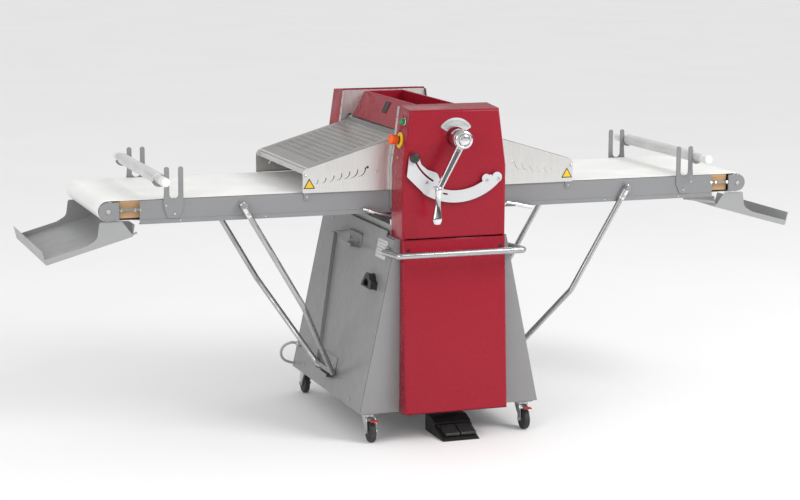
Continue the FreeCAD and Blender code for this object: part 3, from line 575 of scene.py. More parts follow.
def bent_path(line, side):
    """Frames along a bent line drawn in (x, z), for a sheet that spans the belt."""
    path = []
    for i, point in enumerate(line):
        ahead = (line[min(i + 1, len(line) - 1)] - line[max(i - 1, 0)]).normalized()
        place = Vector((side * point.x, BELT_Y, point.y))
        path.append((place, ACROSS, Vector((-side * ahead.y, 0, ahead.x))))
    return path


def upright(side, y):
    """Places a plate drawn in (x, z) upright at a depth; side -1 mirrors it to the left."""
    return Matrix(((side, 0, 0, 0), (0, 0, 1, y), (0, 1, 0, 0), (0, 0, 0, 1)))


def facing(point, direction):
    """Places local Z along a direction at a point."""
    return Matrix.Translation(point) @ Vector(direction).to_track_quat("Z", "Y").to_matrix().to_4x4()


def turned_to(x, y, z):
    """Rotation that takes the local axes to three directions."""
    return Matrix((x, y, z)).transposed().to_4x4()


PANEL_SLOPE = 141.7 / 668
SIDE_OUT = {side: Vector((side, 0, PANEL_SLOPE)).normalized() for side in (-1, 1)}


def on_panel(side, y, z, lift=0.0):
    """Place on the base's sloping side: local X towards the back, Y up the slope and Z outwards."""
    low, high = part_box("side_panels")
    foot, height = max(-low.x, high.x), high.z - low.z
    lean = height * PANEL_SLOPE
    up = Vector((-side * lean, 0, height)).normalized()
    out = Vector((side * height, 0, lean)).normalized()
    turn = turned_to(ACROSS, up, out)
    climb = (z - low.z) / math.cos(math.atan(PANEL_SLOPE))
    point = Matrix.Translation((side * foot, BELT_Y, low.z)) @ turn @ Vector((y, climb, lift))
    return Matrix.Translation(point) @ turn


def on_side(side, y, z, lift=0.0):
    """Point on the base's sloping side, y from the belts' line and z from the floor, lifted off the sheet."""
    return on_panel(side, y, z, lift).translation


# ------------------------------------------------------------------ belts
def conveyor_belt(name):
    """Coated belt round its two rollers, with a slack lower run."""
    low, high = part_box(f"belt_{name}")
    radius = (high.z - low.z) / 2
    centre_z = (high.z + low.z) / 2
    ends = sorted((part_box(f"drive_roller_{name}"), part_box(f"end_roller_{name}")), key=lambda b: b[0].x)
    left = (ends[0][0].x + ends[0][1].x) / 2
    right = (ends[1][0].x + ends[1][1].x) / 2
    thick, sag = 2.4 * MM, 5 * MM
    runs, turns, across = 60, 18, 28
    path = []
    for i in range(runs):
        x = left + (right - left) * i / runs
        path.append((x, centre_z + radius, 0, 1))
    for i in range(turns):
        t = math.pi / 2 - math.pi * i / turns
        c, s = math.cos(t), math.sin(t)
        path.append((right + radius * c, centre_z + radius * s, c, s))
    for i in range(runs):
        share = i / runs
        drop = sag * 4 * share * (1 - share)
        path.append((right + (left - right) * share, centre_z - radius - drop, 0, -1))
    for i in range(turns):
        t = -math.pi / 2 - math.pi * i / turns
        c, s = math.cos(t), math.sin(t)
        path.append((left + radius * c, centre_z + radius * s, c, s))
    shares = [0.5 - 0.5 * math.cos(math.pi * j / across) for j in range(across + 1)]
    ys = [low.y + (high.y - low.y) * share for share in shares]
    rim = 0.6 * MM
    section = [(ys[0], -rim)] + [(y, 0) for y in ys[1:-1]] + [(ys[-1], -rim)]
    section += [(ys[-1], rim - thick)] + [(y, -thick) for y in reversed(ys[1:-1])] + [(ys[0], rim - thick)]
    frames = [(Vector((x, 0, z)), ACROSS, Vector((nx, 0, nz))) for x, z, nx, nz in path]
    mesh = swept_mesh(f"conveyor_belt_{name}", frames, section, closed_path=True)
    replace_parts(piece(f"conveyor_belt_{name}", mesh, f"table_{name}", "belt_cloth"), f"belt_{name}")


# ------------------------------------------------------------------ guards
CHEEK_OUT = 0.319
CHEEK_SCREW, NOSE_ROD = (0.262, 1.028), (0.5475, 1.0215)


def guard_top(name, side, inner, along, length, half, thick):
    """Top sheet with staggered slots."""
    border_head, border_nose, hem, pitch, row = 0.030, 0.052, 0.012, 0.0268, 0.0262
    holes = []
    for i in range(int((length - border_head - border_nose) / pitch) + 1):
        shift = row / 2 if i % 2 else 0
        for j in range(-10, 11):
            v = j * row + shift
            if abs(v) < half - 0.03:
                holes.append(slot_loop((border_head + i * pitch, v), 0.017, 0.006))
    outline = [(0, -half), (length - hem, -half), (length - hem, half), (0, half)]
    place = Matrix((
        (side * along.x, 0, -side * along.y, side * inner.x),
        (0, 1, 0, BELT_Y),
        (along.y, 0, along.x, inner.y - thick / 2),
        (0, 0, 0, 1),
    ))
    # The top sheet takes the darker copy of the stainless: painted dark reflection on the same sheet metal as
    # the cheeks
    top = plate(f"guard_top_{name}", [outline] + holes, thick, place, f"guard_{name}", "stainless",
                finish_or_painted_light="stainless_painted_shade")
    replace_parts(top, f"guard_{name}")
    sharpen(top)


def cheek_slits():
    """Holes of a cheek: two round ones and a row of curved slits that shrink towards the nose."""
    slits = [slot_loop((0.298, 1.046), 0.0101, 0.0100), slot_loop(CHEEK_SCREW, 0.0061, 0.0060)]
    count, steps = 7, 8
    for k in range(count):
        share = k / (count - 1)
        x, z = 0.306 + 0.0315 * k, 1.046 - 0.0400 * share
        run, drop, wide = 0.030 - 0.020 * share, 0.034 - 0.018 * share, (0.0042 - 0.0014 * share) / 2
        left_edge, right_edge = [], []
        for i in range(steps + 1):
            t = i / steps
            u, w = x + run * t * t, z - drop * (1 - (1 - t) ** 1.6)
            reach = wide * (1 - 0.55 * t)
            left_edge.append((u - reach, w - reach * 0.5))
            right_edge.append((u + reach, w + reach * 0.5))
        slits.append(left_edge + right_edge[::-1])
    return slits


def guard_cover(name, side):
    """See-through guard: slotted top with a rolled nose, and two cheeks with curved view slits."""
    low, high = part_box(f"guard_{name}")
    reach, foot = max(abs(low.x), abs(high.x)) - 0.001, low.z
    thick, half, bend = 1.6 * MM, 0.3195, 0.011
    inner, nose = Vector((0.167, 1.1618)), Vector((0.546, 1.0486))
    along = (nose - inner).normalized()
    normal = Vector((-along.y, along.x))
    length = (nose - inner).length
    body = f"guard_{name}"
    guard_top(name, side, inner, along, length, half, thick)

    start = inner + along * (length - 0.0125)
    turn_from = math.degrees(math.atan2(normal.y, normal.x))
    rolled = arc_points(start - normal * bend, bend, turn_from, -6, 10)
    line = [start - along * 0.004] + [Vector(p) for p in rolled]
    line.append(line[-1] + Vector((0.10, -1)).normalized() * 0.016)
    hem = line[-1] + Vector((-0.002, -0.0022))
    line += [hem, hem + Vector((-0.0022, 0.006))]
    flange = [inner + normal * 0.013, inner, inner + along * 0.004]
    section = [(-half, 0), (half, 0), (half, -thick), (-half, -thick)]
    for word, bent in (("nose", line), ("flange", flange)):
        mesh = swept_mesh(word, bent_path(bent, side), section)
        sharpen(piece(f"guard_{word}_{name}", mesh, body, "stainless"), 0.2 * MM)

    cheek = [(0.200, foot), (reach, foot), (reach, 1.033), (0.547, 1.0462), (0.162, 1.1612),
             (0.143, 1.181), (0.146, 1.160), (0.200, 1.100)]
    outline = round_corners(cheek, [0.004, 0.003, 0.005, 0.006, 0, 0.008, 0.006, 0.01])
    loops = [outline] + cheek_slits()
    for face, word in ((-1, "front"), (1, "rear")):
        place = upright(side, BELT_Y + face * CHEEK_OUT)
        # The cheeks take the lighter copy of the stainless: painted light on the same sheet metal as the top
        sharpen(plate(f"guard_cheek_{word}_{name}", loops, 2 * MM, place, body, "stainless",
                      finish_or_painted_light="stainless_painted_light"))
        cheek_fittings(name, side, face, word)


def cheek_fittings(name, side, face, word):
    """Nose rod end, screw and pivot cap of a guard cheek, and its plain yellow triangle with a dark rim."""
    body, out = f"guard_{name}", (0, face, 0)
    y = BELT_Y + face * (CHEEK_OUT + 0.001)
    pivot = joint_at(f"guard_lift_{name}")
    rod_end = [(0.0, 0.004), (0.0045, 0.004), (0.0058, 0.0025), (0.0062, 0.0)]
    place = facing((side * NOSE_ROD[0], y, NOSE_ROD[1]), out)
    turned(f"guard_rod_end_{word}_{name}", rod_end, place, body, "ground_steel")
    screw(f"guard_screw_{word}_{name}", (side * CHEEK_SCREW[0], y, CHEEK_SCREW[1]), out, 0.005, body)
    cap = [(0.0, 0.0035), (0.007, 0.0035), (0.009, 0.0015), (0.009, 0.0)]
    turned(f"guard_pivot_cap_{word}_{name}", cap, facing((pivot.x, y, pivot.z), out), body, "ground_steel")
    layers = (("rim", 1.0, 0.0, "black_plastic"), ("field", 0.74, 0.25, "yellow_plastic"))
    for part, grow, lift, slot in layers:
        corners = [(0.530 + x, 0.986 + z) for x, z in arc_points((0, 0), 0.027 * grow, 90, 330, 2)]
        place = upright(side, y + face * (0.3 + lift) * MM)
        plate(f"guard_label_{part}_{word}_{name}", [round_corners(corners, [0.0015] * 3)], 0.3 * MM, place,
              body, slot, 0.05 * MM)


# ------------------------------------------------------------------ thickness lever
def lever():
    """Polished lever: sleeve, ringed head, channelled arm, knuckle and flared grip, with a spring latch."""
    body = "adjusting_lever"
    centre = joint_at("lever_turn")
    hub = Vector((centre.x, BELT_Y, centre.z))
    lean = math.radians(27.7)
    down, across = Vector((-math.sin(lean), 0, -math.cos(lean))), Vector((-math.cos(lean), 0, math.sin(lean)))
    front = Vector((0, -1, 0))
    forward = facing(hub, front)

    sleeve = [(0.0125, 0.474), (0.0345, 0.474), (0.036, 0.4755), (0.036, 0.5455), (0.0345, 0.547),
              (0.012, 0.547)]
    # The sleeve takes a darker chrome with a red tint: painted reflection of the red cover around it
    turned("lever_sleeve", sleeve, forward, body, "chrome", 64, "chrome_painted_red_reflection")
    head = [(0.012, 0.547), (0.031, 0.547), (0.0345, 0.5495), (0.0362, 0.554), (0.0355, 0.5595),
            (0.0325, 0.5635), (0.0262, 0.5655), (0.0242, 0.5652), (0.0236, 0.5560), (0.0212, 0.5556),
            (0.0206, 0.5650), (0.0192, 0.5668), (0.012, 0.5678), (0.0, 0.568)]
    turned("lever_head", head, forward, body, "chrome", 64)
    # A black ring on the floor of the head's groove: painted shade in the groove of the polished head
    shade_ring = [(0.0214, 0.5568), (0.0234, 0.5568), (0.0234, 0.5574), (0.0214, 0.5574)]
    turned("lever_head_shade_ring", shade_ring, forward, body, "black_paint", 48)

    middle = Vector((0, -0.5515, 0))
    channel = ((-1, -0.6), (-1, 0.55), (-0.9, 1.0), (-0.62, 1.0), (-0.42, 0.35), (0.42, 0.35), (0.62, 1.0),
               (0.9, 1.0), (1, 0.55), (1, -0.6), (0.85, -1.0), (-0.85, -1.0))
    rings, steps = [], 24
    for i in range(steps + 1):
        share = i / steps
        wide, deep = (0.0148 - 0.0040 * share, 0.0078 - 0.0012 * share) if i else (0.0165, 0.0085)
        place = hub + down * (0.024 + 0.187 * share) + middle
        rings.append([place + across * wide * u + front * deep * w for u, w in channel])
    sharpen(piece("lever_arm", lofted("arm", rings), body, "chrome"), 0.5 * MM, 28)
    # A dark strip laid along the arm's channel: painted dark reflection in the polished hollow
    channel_shade_rings, steps = [], 12
    for i in range(steps + 1):
        share = i / steps
        place = hub + down * (0.040 + 0.158 * share) + middle + front * (0.0030 - 0.0004 * share)
        channel_shade_rings.append(ring_of(place, across, front, (0.0148 - 0.0040 * share) * 0.44, 0.0006, 3.0, 12))
    piece("lever_channel_shade", lofted("channel", channel_shade_rings), body, "dark_steel")

    elbow = hub + down * 0.208 + middle
    grip_end = Vector((hub.x - 0.1045, elbow.y, 0.852))
    way = (grip_end - elbow).normalized()
    side_way = way.cross(front).normalized()
    shape = [(-0.012, 0.0075, 2.0), (-0.008, 0.0120, 2.2), (0.0, 0.0132, 2.3), (0.010, 0.0125, 2.3),
             (0.020, 0.0105, 2.4), (0.036, 0.0100, 2.5), (0.060, 0.0112, 2.7), (0.085, 0.0140, 2.9),
             (0.104, 0.0176, 3.1), (0.112, 0.0186, 3.2), (0.117, 0.0180, 3.3), (0.127, 0.0150, 3.4),
             ((grip_end - elbow).length, 0.0118, 3.4)]
    rings = [ring_of(elbow + way * reach, side_way, front, wide, wide * 0.86, power)
             for reach, wide, power in shape]
    sharpen(piece("lever_grip", lofted("grip", rings), body, "chrome"), 0.8 * MM, 40)
    button = [(0.0, 0.0018), (0.006, 0.0018), (0.0072, 0.0), (0.0072, -0.004)]
    turned("lever_grip_button", button, facing(grip_end, way), body, "ground_steel")
    lever_latch(hub + down * 0.206 + Vector((0, -0.536, 0)), body)
    lever_shaft(hub, body)


def lever_latch(latch, body):
    """Spring-loaded rod behind the lever's knuckle."""
    rod = [(0.0, 0.0), (0.0052, 0.0), (0.0060, 0.0012), (0.0060, 0.024), (0.0044, 0.0252), (0.0044, 0.0375),
           (0.0030, 0.0385), (0.0, 0.0388)]
    turned("lever_latch_rod", rod, facing(latch, ACROSS), body, "chrome")
    turns, steps = 6, 14
    coil = []
    for i in range(turns * steps + 1):
        t = 2 * math.pi * i / steps
        radial = Vector((math.cos(t), 0, math.sin(t)))
        rise = 0.004 + 0.018 * i / (turns * steps)
        coil.append((latch + radial * 0.0072 + Vector((0, rise, 0)), radial, ACROSS))
    wire = arc_points((0, 0), 0.0009, 0, 315, 7)
    piece("lever_latch_spring", swept_mesh("spring", coil, wire), body, "ground_steel")


def lever_shaft(hub, body):
    """Shaft through the head, with the two cranks that lift the upper roller."""
    start = 0.470
    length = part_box("adjusting_lever")[1].y + start - BELT_Y
    shaft = [(0.0, 0.0), (0.0108, 0.0), (0.0120, 0.0012), (0.0120, length - 0.0012), (0.0108, length),
             (0.0, length)]
    turned("lever_shaft", shaft, facing((hub.x, BELT_Y - start, hub.z), ACROSS), body, "ground_steel")
    disc = [(0.012, 0.0), (0.0234, 0.0), (0.0240, 0.0006), (0.0240, 0.0074), (0.0234, 0.0080),
            (0.012, 0.0080)]
    pin = [(0.0, 0.0), (0.0055, 0.0), (0.0060, 0.0006), (0.0060, 0.0114), (0.0055, 0.0120), (0.0, 0.0120)]
    for word, y in (("front", BELT_Y - 0.300), ("rear", BELT_Y + 0.292)):
        turned(f"lever_crank_{word}", disc, facing((hub.x, y, hub.z), ACROSS), body, "dark_steel", 48)
        place = facing((hub.x + 0.015, y - 0.002, hub.z), ACROSS)
        last = turned(f"lever_crank_pin_{word}", pin, place, body, "ground_steel")
    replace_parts(last, "adjusting_lever")


def scale():
    """Silvered thickness scale with rounded corners and engraved tick marks."""
    low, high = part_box("scale_plate")
    centre = joint_at("lever_turn")
    inner, outer = 0.0405, high.z - centre.z
    start, stop = 30, 147
    loop = []
    for angle_from, angle_to, radius in ((start + 3, stop - 3, outer), (stop - 4, start + 4, inner)):
        loop += arc_points((0, 0), radius, angle_from, angle_to, 28)
        edge = math.radians(angle_to + (3 if angle_to > angle_from else -4))
        other = inner if radius == outer else outer
        for share in (0.12, 0.88):
            reach = radius + (other - radius) * share
            loop.append((reach * math.cos(edge), reach * math.sin(edge)))

    def at(y):
        return Matrix(((1, 0, 0, centre.x), (0, 0, -1, y), (0, 1, 0, centre.z), (0, 0, 0, 1)))

    middle, thick = (low.y + high.y) / 2, high.y - low.y
    sheet = plate("scale", [loop], thick, at(middle), "root", "white_enamel", 0.2 * MM, "scale_silver")
    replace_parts(sheet, "scale_plate")
    tip, half, front = 0.0655, 0.35 * MM, at(low.y - 0.08 * MM)
    for i in range(31):
        t = math.radians(38 + 98 * i / 30)
        root = tip - (0.0085 if i % 5 == 0 else 0.005)
        radial, tangent = Vector((math.cos(t), math.sin(t))), Vector((-math.sin(t), math.cos(t)))
        corners = ((tip, half), (root, half), (root, -half), (tip, -half))
        tick = [tuple(radial * reach + tangent * shift) for reach, shift in corners]
        plate(f"scale_tick_{i:02d}", [tick], 0.12 * MM, front, "root", "black_paint", 0.02 * MM)


# ------------------------------------------------------------------ head and covers
def push_buttons():
    """Start button in a silver bezel and a mushroom stop on a yellow disc, on the head's left side."""
    start_body, stop_body = "start_button", "estop_button"
    out = -Vector(JOINTS["start_press"]["axis"])
    turn = out.to_track_quat("Z", "Y").to_matrix().to_4x4()

    def seat(node, radius, reach):
        """Foot of a button on the cover, from the place of its outer end."""
        low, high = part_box(node)
        tip_x = low.x + radius * abs(out.z)
        tip_z = high.z - radius * abs(out.x)
        return Vector((tip_x, (low.y + high.y) / 2, tip_z)) - out * reach

    start, stop = seat("start_button", 0.011, 0.0185), seat("estop_button", 0.020, 0.046)
    at_start, at_stop = Matrix.Translation(start) @ turn, Matrix.Translation(stop) @ turn
    bezel = [(0.0118, 0.0002), (0.0150, 0.0002), (0.0152, 0.0030), (0.0140, 0.0044), (0.0122, 0.0046),
             (0.0116, 0.0035), (0.0116, 0.0004)]
    turned("start_bezel", bezel, at_start, "root", "chrome", 48)
    disc = [(0.0098, 0.0002), (0.0296, 0.0002), (0.0300, 0.0010), (0.0300, 0.0042), (0.0288, 0.0058),
            (0.0240, 0.0068), (0.0140, 0.0072), (0.0100, 0.0072)]
    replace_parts(turned("stop_disc", disc, at_stop, "root", "yellow_plastic", 56), "button_bezels")
    cap = [(0.0060, -0.012), (0.0060, 0.004), (0.0104, 0.0045), (0.0110, 0.0052), (0.0110, 0.0160),
           (0.0102, 0.0178), (0.0080, 0.0184), (0.0, 0.0178)]
    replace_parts(turned("start_cap", cap, at_start, start_body, "green_plastic"), "start_button")
    mushroom = [(0.0090, -0.008), (0.0090, 0.0128), (0.0172, 0.0130), (0.0186, 0.0140), (0.0186, 0.0300),
                (0.0192, 0.0335), (0.0200, 0.0360), (0.0200, 0.0400), (0.0186, 0.0436), (0.0150, 0.0454),
                (0.0080, 0.0460), (0.0, 0.0460)]
    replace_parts(turned("stop_mushroom", mushroom, at_stop, stop_body, "orange_plastic", 48), "estop_button")
    below = stop + Vector((-out.z, 0, out.x)) * 0.066
    screw("cover_side_screw", below + out * 0.3 * MM, out, 0.0055, "root", 0.003)
    collar = [(0.0092, 0.0072), (0.0150, 0.0072), (0.0158, 0.0080), (0.0150, 0.0098), (0.0092, 0.0104)]
    turned("stop_collar", collar, at_stop, "root", "black_plastic")


def front_screws():
    """Screws of the front covers, the quadrant plate's spacers and the base's sides."""
    low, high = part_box("lower_front_cover")
    seam, half = high.z, high.x
    quadrant_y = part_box("quadrant_plate")[0].y
    share = (0.743 - low.z) / (seam - low.z)
    face = low.y + (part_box("upper_front_cover")[0].y - low.y) * share
    for side in (-1, 1):
        point = (side * (half - 0.022), face + 0.4 * MM, seam - 0.039)
        last = screw(f"cover_screw_{side}", point, (0, -1, 0.07), 0.0062, "root", 0.0042, "black_paint")
        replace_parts(last, "cover_screws")
        for i, (y, z) in enumerate(((0.303, 0.146), (-0.289, 0.140), (0.303, 0.760), (-0.200, 0.770))):
            point = on_side(side, y, z, 0.2 * MM)
            screw(f"side_screw_{side}_{i}", point, SIDE_OUT[side], 0.0058, "root", 0.003)
    for i, (x, z) in enumerate(((-0.121, 1.002), (0.124, 1.001), (0.171, 1.005))):
        screw(f"spacer_screw_{i}", (x, quadrant_y + 0.2 * MM, z), (0, -1, 0), 0.0060, "root", 0.0032)


def cover_edges():
    """Curved strips that close both upper covers' rounded top edges, where their hollows come through."""
    radius, drop, half = 12 * MM, 22 * MM, 165.5 * MM
    outer, inner = radius - 0.02 * MM, radius - 2 * MM
    ring = arc_points((0, 0), outer, 35, 64, 8) + arc_points((0, 0), inner, 64, 35, 8)
    for name, face in (("upper_front_cover", -1), ("upper_rear_cover", 1)):
        low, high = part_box(name)
        face_y = low.y if face < 0 else high.y
        centre = Vector((0, face_y - face * radius, high.z - drop))
        path = [(centre + Vector((x, 0, 0)), Vector((0, face, 0)), Vector((0, 0, 1))) for x in (-half, half)]
        sharpen(piece(f"{name}_edge", swept_mesh("edge", path, ring), "root", "red_paint"))


def head_trims():
    """Flanges that stand out from the edges of both head plates, seen beside the covers, in the lighter copy
    of the stainless: a painted highlight along the plates' edges.
    """
    low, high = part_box("head_plates")
    half, shoulder, crown = high.x, 1.051, (0.1775, 1.2755)
    outer = half + 0.5 * MM
    lines = ([(outer, 0.785), (outer, 0.843)], [(outer, 0.886), (outer, shoulder), crown])
    for face, word in ((-1, "front"), (1, "rear")):
        edge_y = low.y if face < 0 else high.y
        far = edge_y - face * 0.020
        section = [(edge_y, 0), (far, 0), (far, 0.0015), (edge_y, 0.0015)]
        for side in (-1, 1):
            for i, line in enumerate(lines):
                path = []
                for k, (x, z) in enumerate(line):
                    ahead = Vector(line[min(k + 1, len(line) - 1)]) - Vector(line[max(k - 1, 0)])
                    ahead.normalize()
                    path.append((Vector((side * x, 0, z)), ACROSS, Vector((side * ahead.y, 0, -ahead.x))))
                trim = swept_mesh("trim", path, section)
                name = f"head_trim_{word}_{side}_{i}"
                # Painted highlight: each trim takes the lighter copy of the stainless
                sharpen(piece(name, trim, "root", "stainless", "stainless_painted_light"), 0.3 * MM)
            out = Vector((side, 0, 0.138)).normalized()
            for k, z in enumerate((1.215, 1.180) if face > 0 else (1.235, 1.090)):
                taper = (half - crown[0]) * (z - shoulder) / (high.z - shoulder)
                point = (side * (half - taper + 0.0018), edge_y - face * 0.010, z)
                screw(f"head_screw_{word}_{side}_{k}", point, out, 0.004, "root", 0.0022)


def rating_plate():
    """Blank plate with two rivets and plain rules on the base's left side."""
    place = on_panel(-1, -0.311, 0.7275, 0.6 * MM)
    loop = rounded_box(0.055, 0.036, 0.003)
    plate("rating_plate", [loop], 0.8 * MM, place, "root", "white_enamel", 0.1 * MM)
    rivet = [(0.0, 0.0013), (0.0014, 0.0011), (0.0022, 0.0003), (0.0022, 0.0)]
    for i, x in enumerate((-0.050, 0.050)):
        at = place @ Matrix.Translation((x, 0, 0.4 * MM))
        turned(f"rating_rivet_{i}", rivet, at, "root", "ground_steel")
    above = place @ Matrix.Translation((0, 0, 0.6 * MM))
    for row in range(5):
        top, end = 0.026 - 0.012 * row, 0.044 - 0.012 * (row % 2)
        foot = top - 0.0012
        line = [(-0.044, top), (end, top), (end, foot), (-0.044, foot)]
        plate(f"rating_rule_{row}", [line], 0.2 * MM, above, "root", "black_paint", 0.04 * MM)


def hood_details():
    """Dark framed window in the roller hood's left sheet, and screws in both sheets."""
    for side in (-1, 1):
        up = Vector((-side * 0.052, 0, 0.098)).normalized()
        out = Vector((side * 0.098, 0, 0.052)).normalized()
        if side < 0:
            middle = Vector((side * 0.1035, BELT_Y + 0.020, 1.2352)) + out * 0.001
            place = Matrix.Translation(middle) @ turned_to(Vector((0, side, 0)), up, out)
            loop = rounded_box(0.022, 0.021, 0.003)
            plate("hood_window", [loop], 1.6 * MM, place, "root", "black_plastic", 0.2 * MM)
            loops = [rounded_box(0.025, 0.024, 0.004), rounded_box(0.020, 0.019, 0.002)]
            plate("hood_window_rim", loops, 3 * MM, place, "root", "black_plastic", 0.4 * MM)
        for k, y in enumerate((-0.300, 0.300)):
            point = Vector((side * 0.118, BELT_Y + y, 1.208)) + out * 0.6 * MM
            screw(f"hood_screw_{side}_{k}", point, out, 0.004, "root", 0.002)


# ------------------------------------------------------------------ fasteners, cable and castors
def table_bolts(name, side, face):
    """Fasteners on one rail of a table, its tension spindles and the strut's forged fork."""
    body, arm = f"table_{name}", f"strut_{name}"
    word = f"{name}_{'front' if face < 0 else 'rear'}"
    out = (0, face, 0)

    def at(x, reach, z):
        return Vector((side * x, BELT_Y + face * reach, z))

    for i, (x, z) in enumerate(((1.047, 0.902), (1.080, 0.934))):
        screw(f"holder_screw_{word}_{i}", at(x, 0.316, z), out, 0.0052, body, 0.003)
    for i, x in enumerate((0.262, 0.700, 1.026)):
        screw(f"rail_screw_{word}_{i}", at(x, 0.314, 0.876), out, 0.0040, body, 0.0022)
    screw(f"tab_screw_{word}", at(0.538, 0.316, 0.942), out, 0.0046, body, 0.0028)
    drum_low, drum_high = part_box(f"end_roller_{name}")
    drum = (drum_low + drum_high) / 2
    screw(f"end_screw_{word}", (drum.x, BELT_Y + face * 0.3121, drum.z), out, 0.0085, body, 0.004)
    for i, x in enumerate((1.172, 1.192, 1.243)):
        nut(f"spindle_nut_{word}_{i}", 0.0075, 0.007, facing(at(x, 0.308, 0.923), (side, 0, 0)), body)
    lean, level = Vector((-side * 0.506, 0, -0.863)), Vector((side * 0.863, 0, -0.506))
    eye = at(0.789, 0.327, 0.921)
    shape = ((-0.014, 0.0095, 0.009), (-0.010, 0.0118, 0.012), (0.020, 0.0118, 0.0125),
             (0.042, 0.0118, 0.0122), (0.050, 0.0112, 0.0113))
    rings = [ring_of(eye + lean * reach, Vector(out), level, wide, deep, 3.0) for reach, wide, deep in shape]
    sharpen(piece(f"strut_fork_{word}", lofted("fork", rings), arm, "chrome"), 0.4 * MM, 40)
    bolt = eye + lean * 0.036 + Vector((0, face * 0.0115, 0))
    screw(f"fork_bolt_{word}", bolt, out, 0.0058, arm, 0.004)


PANEL_SCREWS = (
    # name, places (y, z), lift, radius, height
    ("bracket_screw", ((0.050, 0.716), (-0.040, 0.716)), 0.0031, 0.0062, 0.0045),
    ("foot_screw", ((0.045, 0.226), (-0.050, 0.226)), 0.0031, 0.0055, 0.0035),
    ("guide_screw", ((0.248, 0.690), (0.184, 0.430), (0.134, 0.205)), 0.0141, 0.0045, 0.0024),
    ("bumper_bolt", ((-0.370, 0.716), (-0.392, 0.738)), 0.0051, 0.0034, 0.0025),
)


def bolts():
    """Fasteners on the rails, the holders, the struts and the base's brackets."""
    for name, side in TABLES:
        for face in (-1, 1):
            table_bolts(name, side, face)
        for word, places, lift, radius, height in PANEL_SCREWS:
            for i, (y, z) in enumerate(places):
                point = on_side(side, y, z, lift)
                screw(f"{word}_{name}_{i}", point, SIDE_OUT[side], radius, "root", height)


def cable_holder():
    """Moulded hanger with an arched top and an open throat for the rolled-up cable."""
    low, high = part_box("cable_holder")
    middle, foot = (low.y + high.y) / 2 - BELT_Y, low.z + 0.004
    crown = arc_points((0.005, 0.022), 0.034, 25, 158, 10)
    inset = [(u * 0.93, w * 0.95) for u, w in crown]
    base = [(0.054, -0.002), (0.050, 0.010)] + crown + [(-0.052, 0.028), (-0.056, -0.002)]
    rim = [(0.050, 0.0), (0.047, 0.010)] + inset + [(-0.048, 0.026), (-0.052, 0.0)]
    throat = [(-0.030, 0.004), (-0.028, 0.020), (-0.006, 0.034), (0.020, 0.032), (0.034, 0.018),
              (0.036, 0.004)]
    front = [(0.054, -0.002), (0.050, 0.012)] + crown + [(-0.052, 0.030), (-0.056, -0.002)]
    mouth = [(-0.024, 0.003), (-0.020, 0.022), (0.008, 0.034), (0.028, 0.020), (0.028, 0.003)]
    opening = round_corners(mouth, [0.003, 0.006, 0.006, 0.006, 0.003])
    layers = (
        ("base", [base], 3.0, 1.8, 0.5),
        ("wall", [rim, throat], 21.5, 14.0, 0.8),
        ("lip", [front, opening], 3.0, 26.2, 0.6),
    )
    for word, loops, thick, lift, rounding in layers:
        place = on_panel(-1, middle, foot, lift * MM)
        name = f"cable_holder_{word}"
        layer = plate(name, loops, thick * MM, place, "root", "black_plastic", rounding * MM)
        sharpen(layer)
        if word == "base":
            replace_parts(layer, "cable_holder")


def mains_cable():
    """Cable that loops from its gland round to the back of the base."""
    out, gland = SIDE_OUT[-1], on_side(-1, 0.392, 0.216)
    bends = ((-0.416, 0.404, 0.208), (-0.424, 0.418, 0.176), (-0.406, 0.430, 0.144), (-0.360, 0.434, 0.127),
             (-0.310, 0.420, 0.128), (-0.300, 0.390, 0.130))
    points = [gland + out * 0.016, gland + out * 0.042] + [Vector((x, BELT_Y + y, z)) for x, y, z in bends]
    line = smooth_line(points)
    ring = arc_points((0, 0), 0.0055, 0, 330, 11)
    path, across = [], ACROSS
    for i, point in enumerate(line):
        ahead = (line[min(i + 1, len(line) - 1)] - line[max(i - 1, 0)]).normalized()
        across = (across - ahead * across.dot(ahead)).normalized()
        path.append((point, across, ahead.cross(across)))
    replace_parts(piece("cable", swept_mesh("cable", path, ring), "root", "cable_rubber"), "mains_cable")
    at = facing(gland + out * 0.5 * MM, out)
    sharpen(piece("gland_nut", hexagon_mesh("gland", 0.0135, 0.010, at), "root", "ground_steel"), 0.4 * MM)
    dome = [(0.0, 0.009), (0.0115, 0.009), (0.0118, 0.013), (0.0100, 0.019), (0.0066, 0.0225), (0.0, 0.0228)]
    turned("gland_dome", dome, facing(gland, out), "root", "ground_steel")


def panel_seams():
    """Dark joints where the side panels lap the folded front and back of the base."""
    low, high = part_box("side_panels")
    rise = (0.7775 - low.z) / math.cos(math.atan(PANEL_SLOPE))
    half, inset = 0.9 * MM, 0.8 * MM
    line = [(-half, 0.001), (half, 0.001), (half, rise), (-half, rise)]
    for side in (-1, 1):
        for word, y in (("front", low.y + inset), ("rear", high.y - inset)):
            place = on_panel(side, y - BELT_Y, low.z, 0.15 * MM)
            plate(f"panel_seam_{side}_{word}", [line], 0.4 * MM, place, "root", "black_paint", 0.08 * MM)


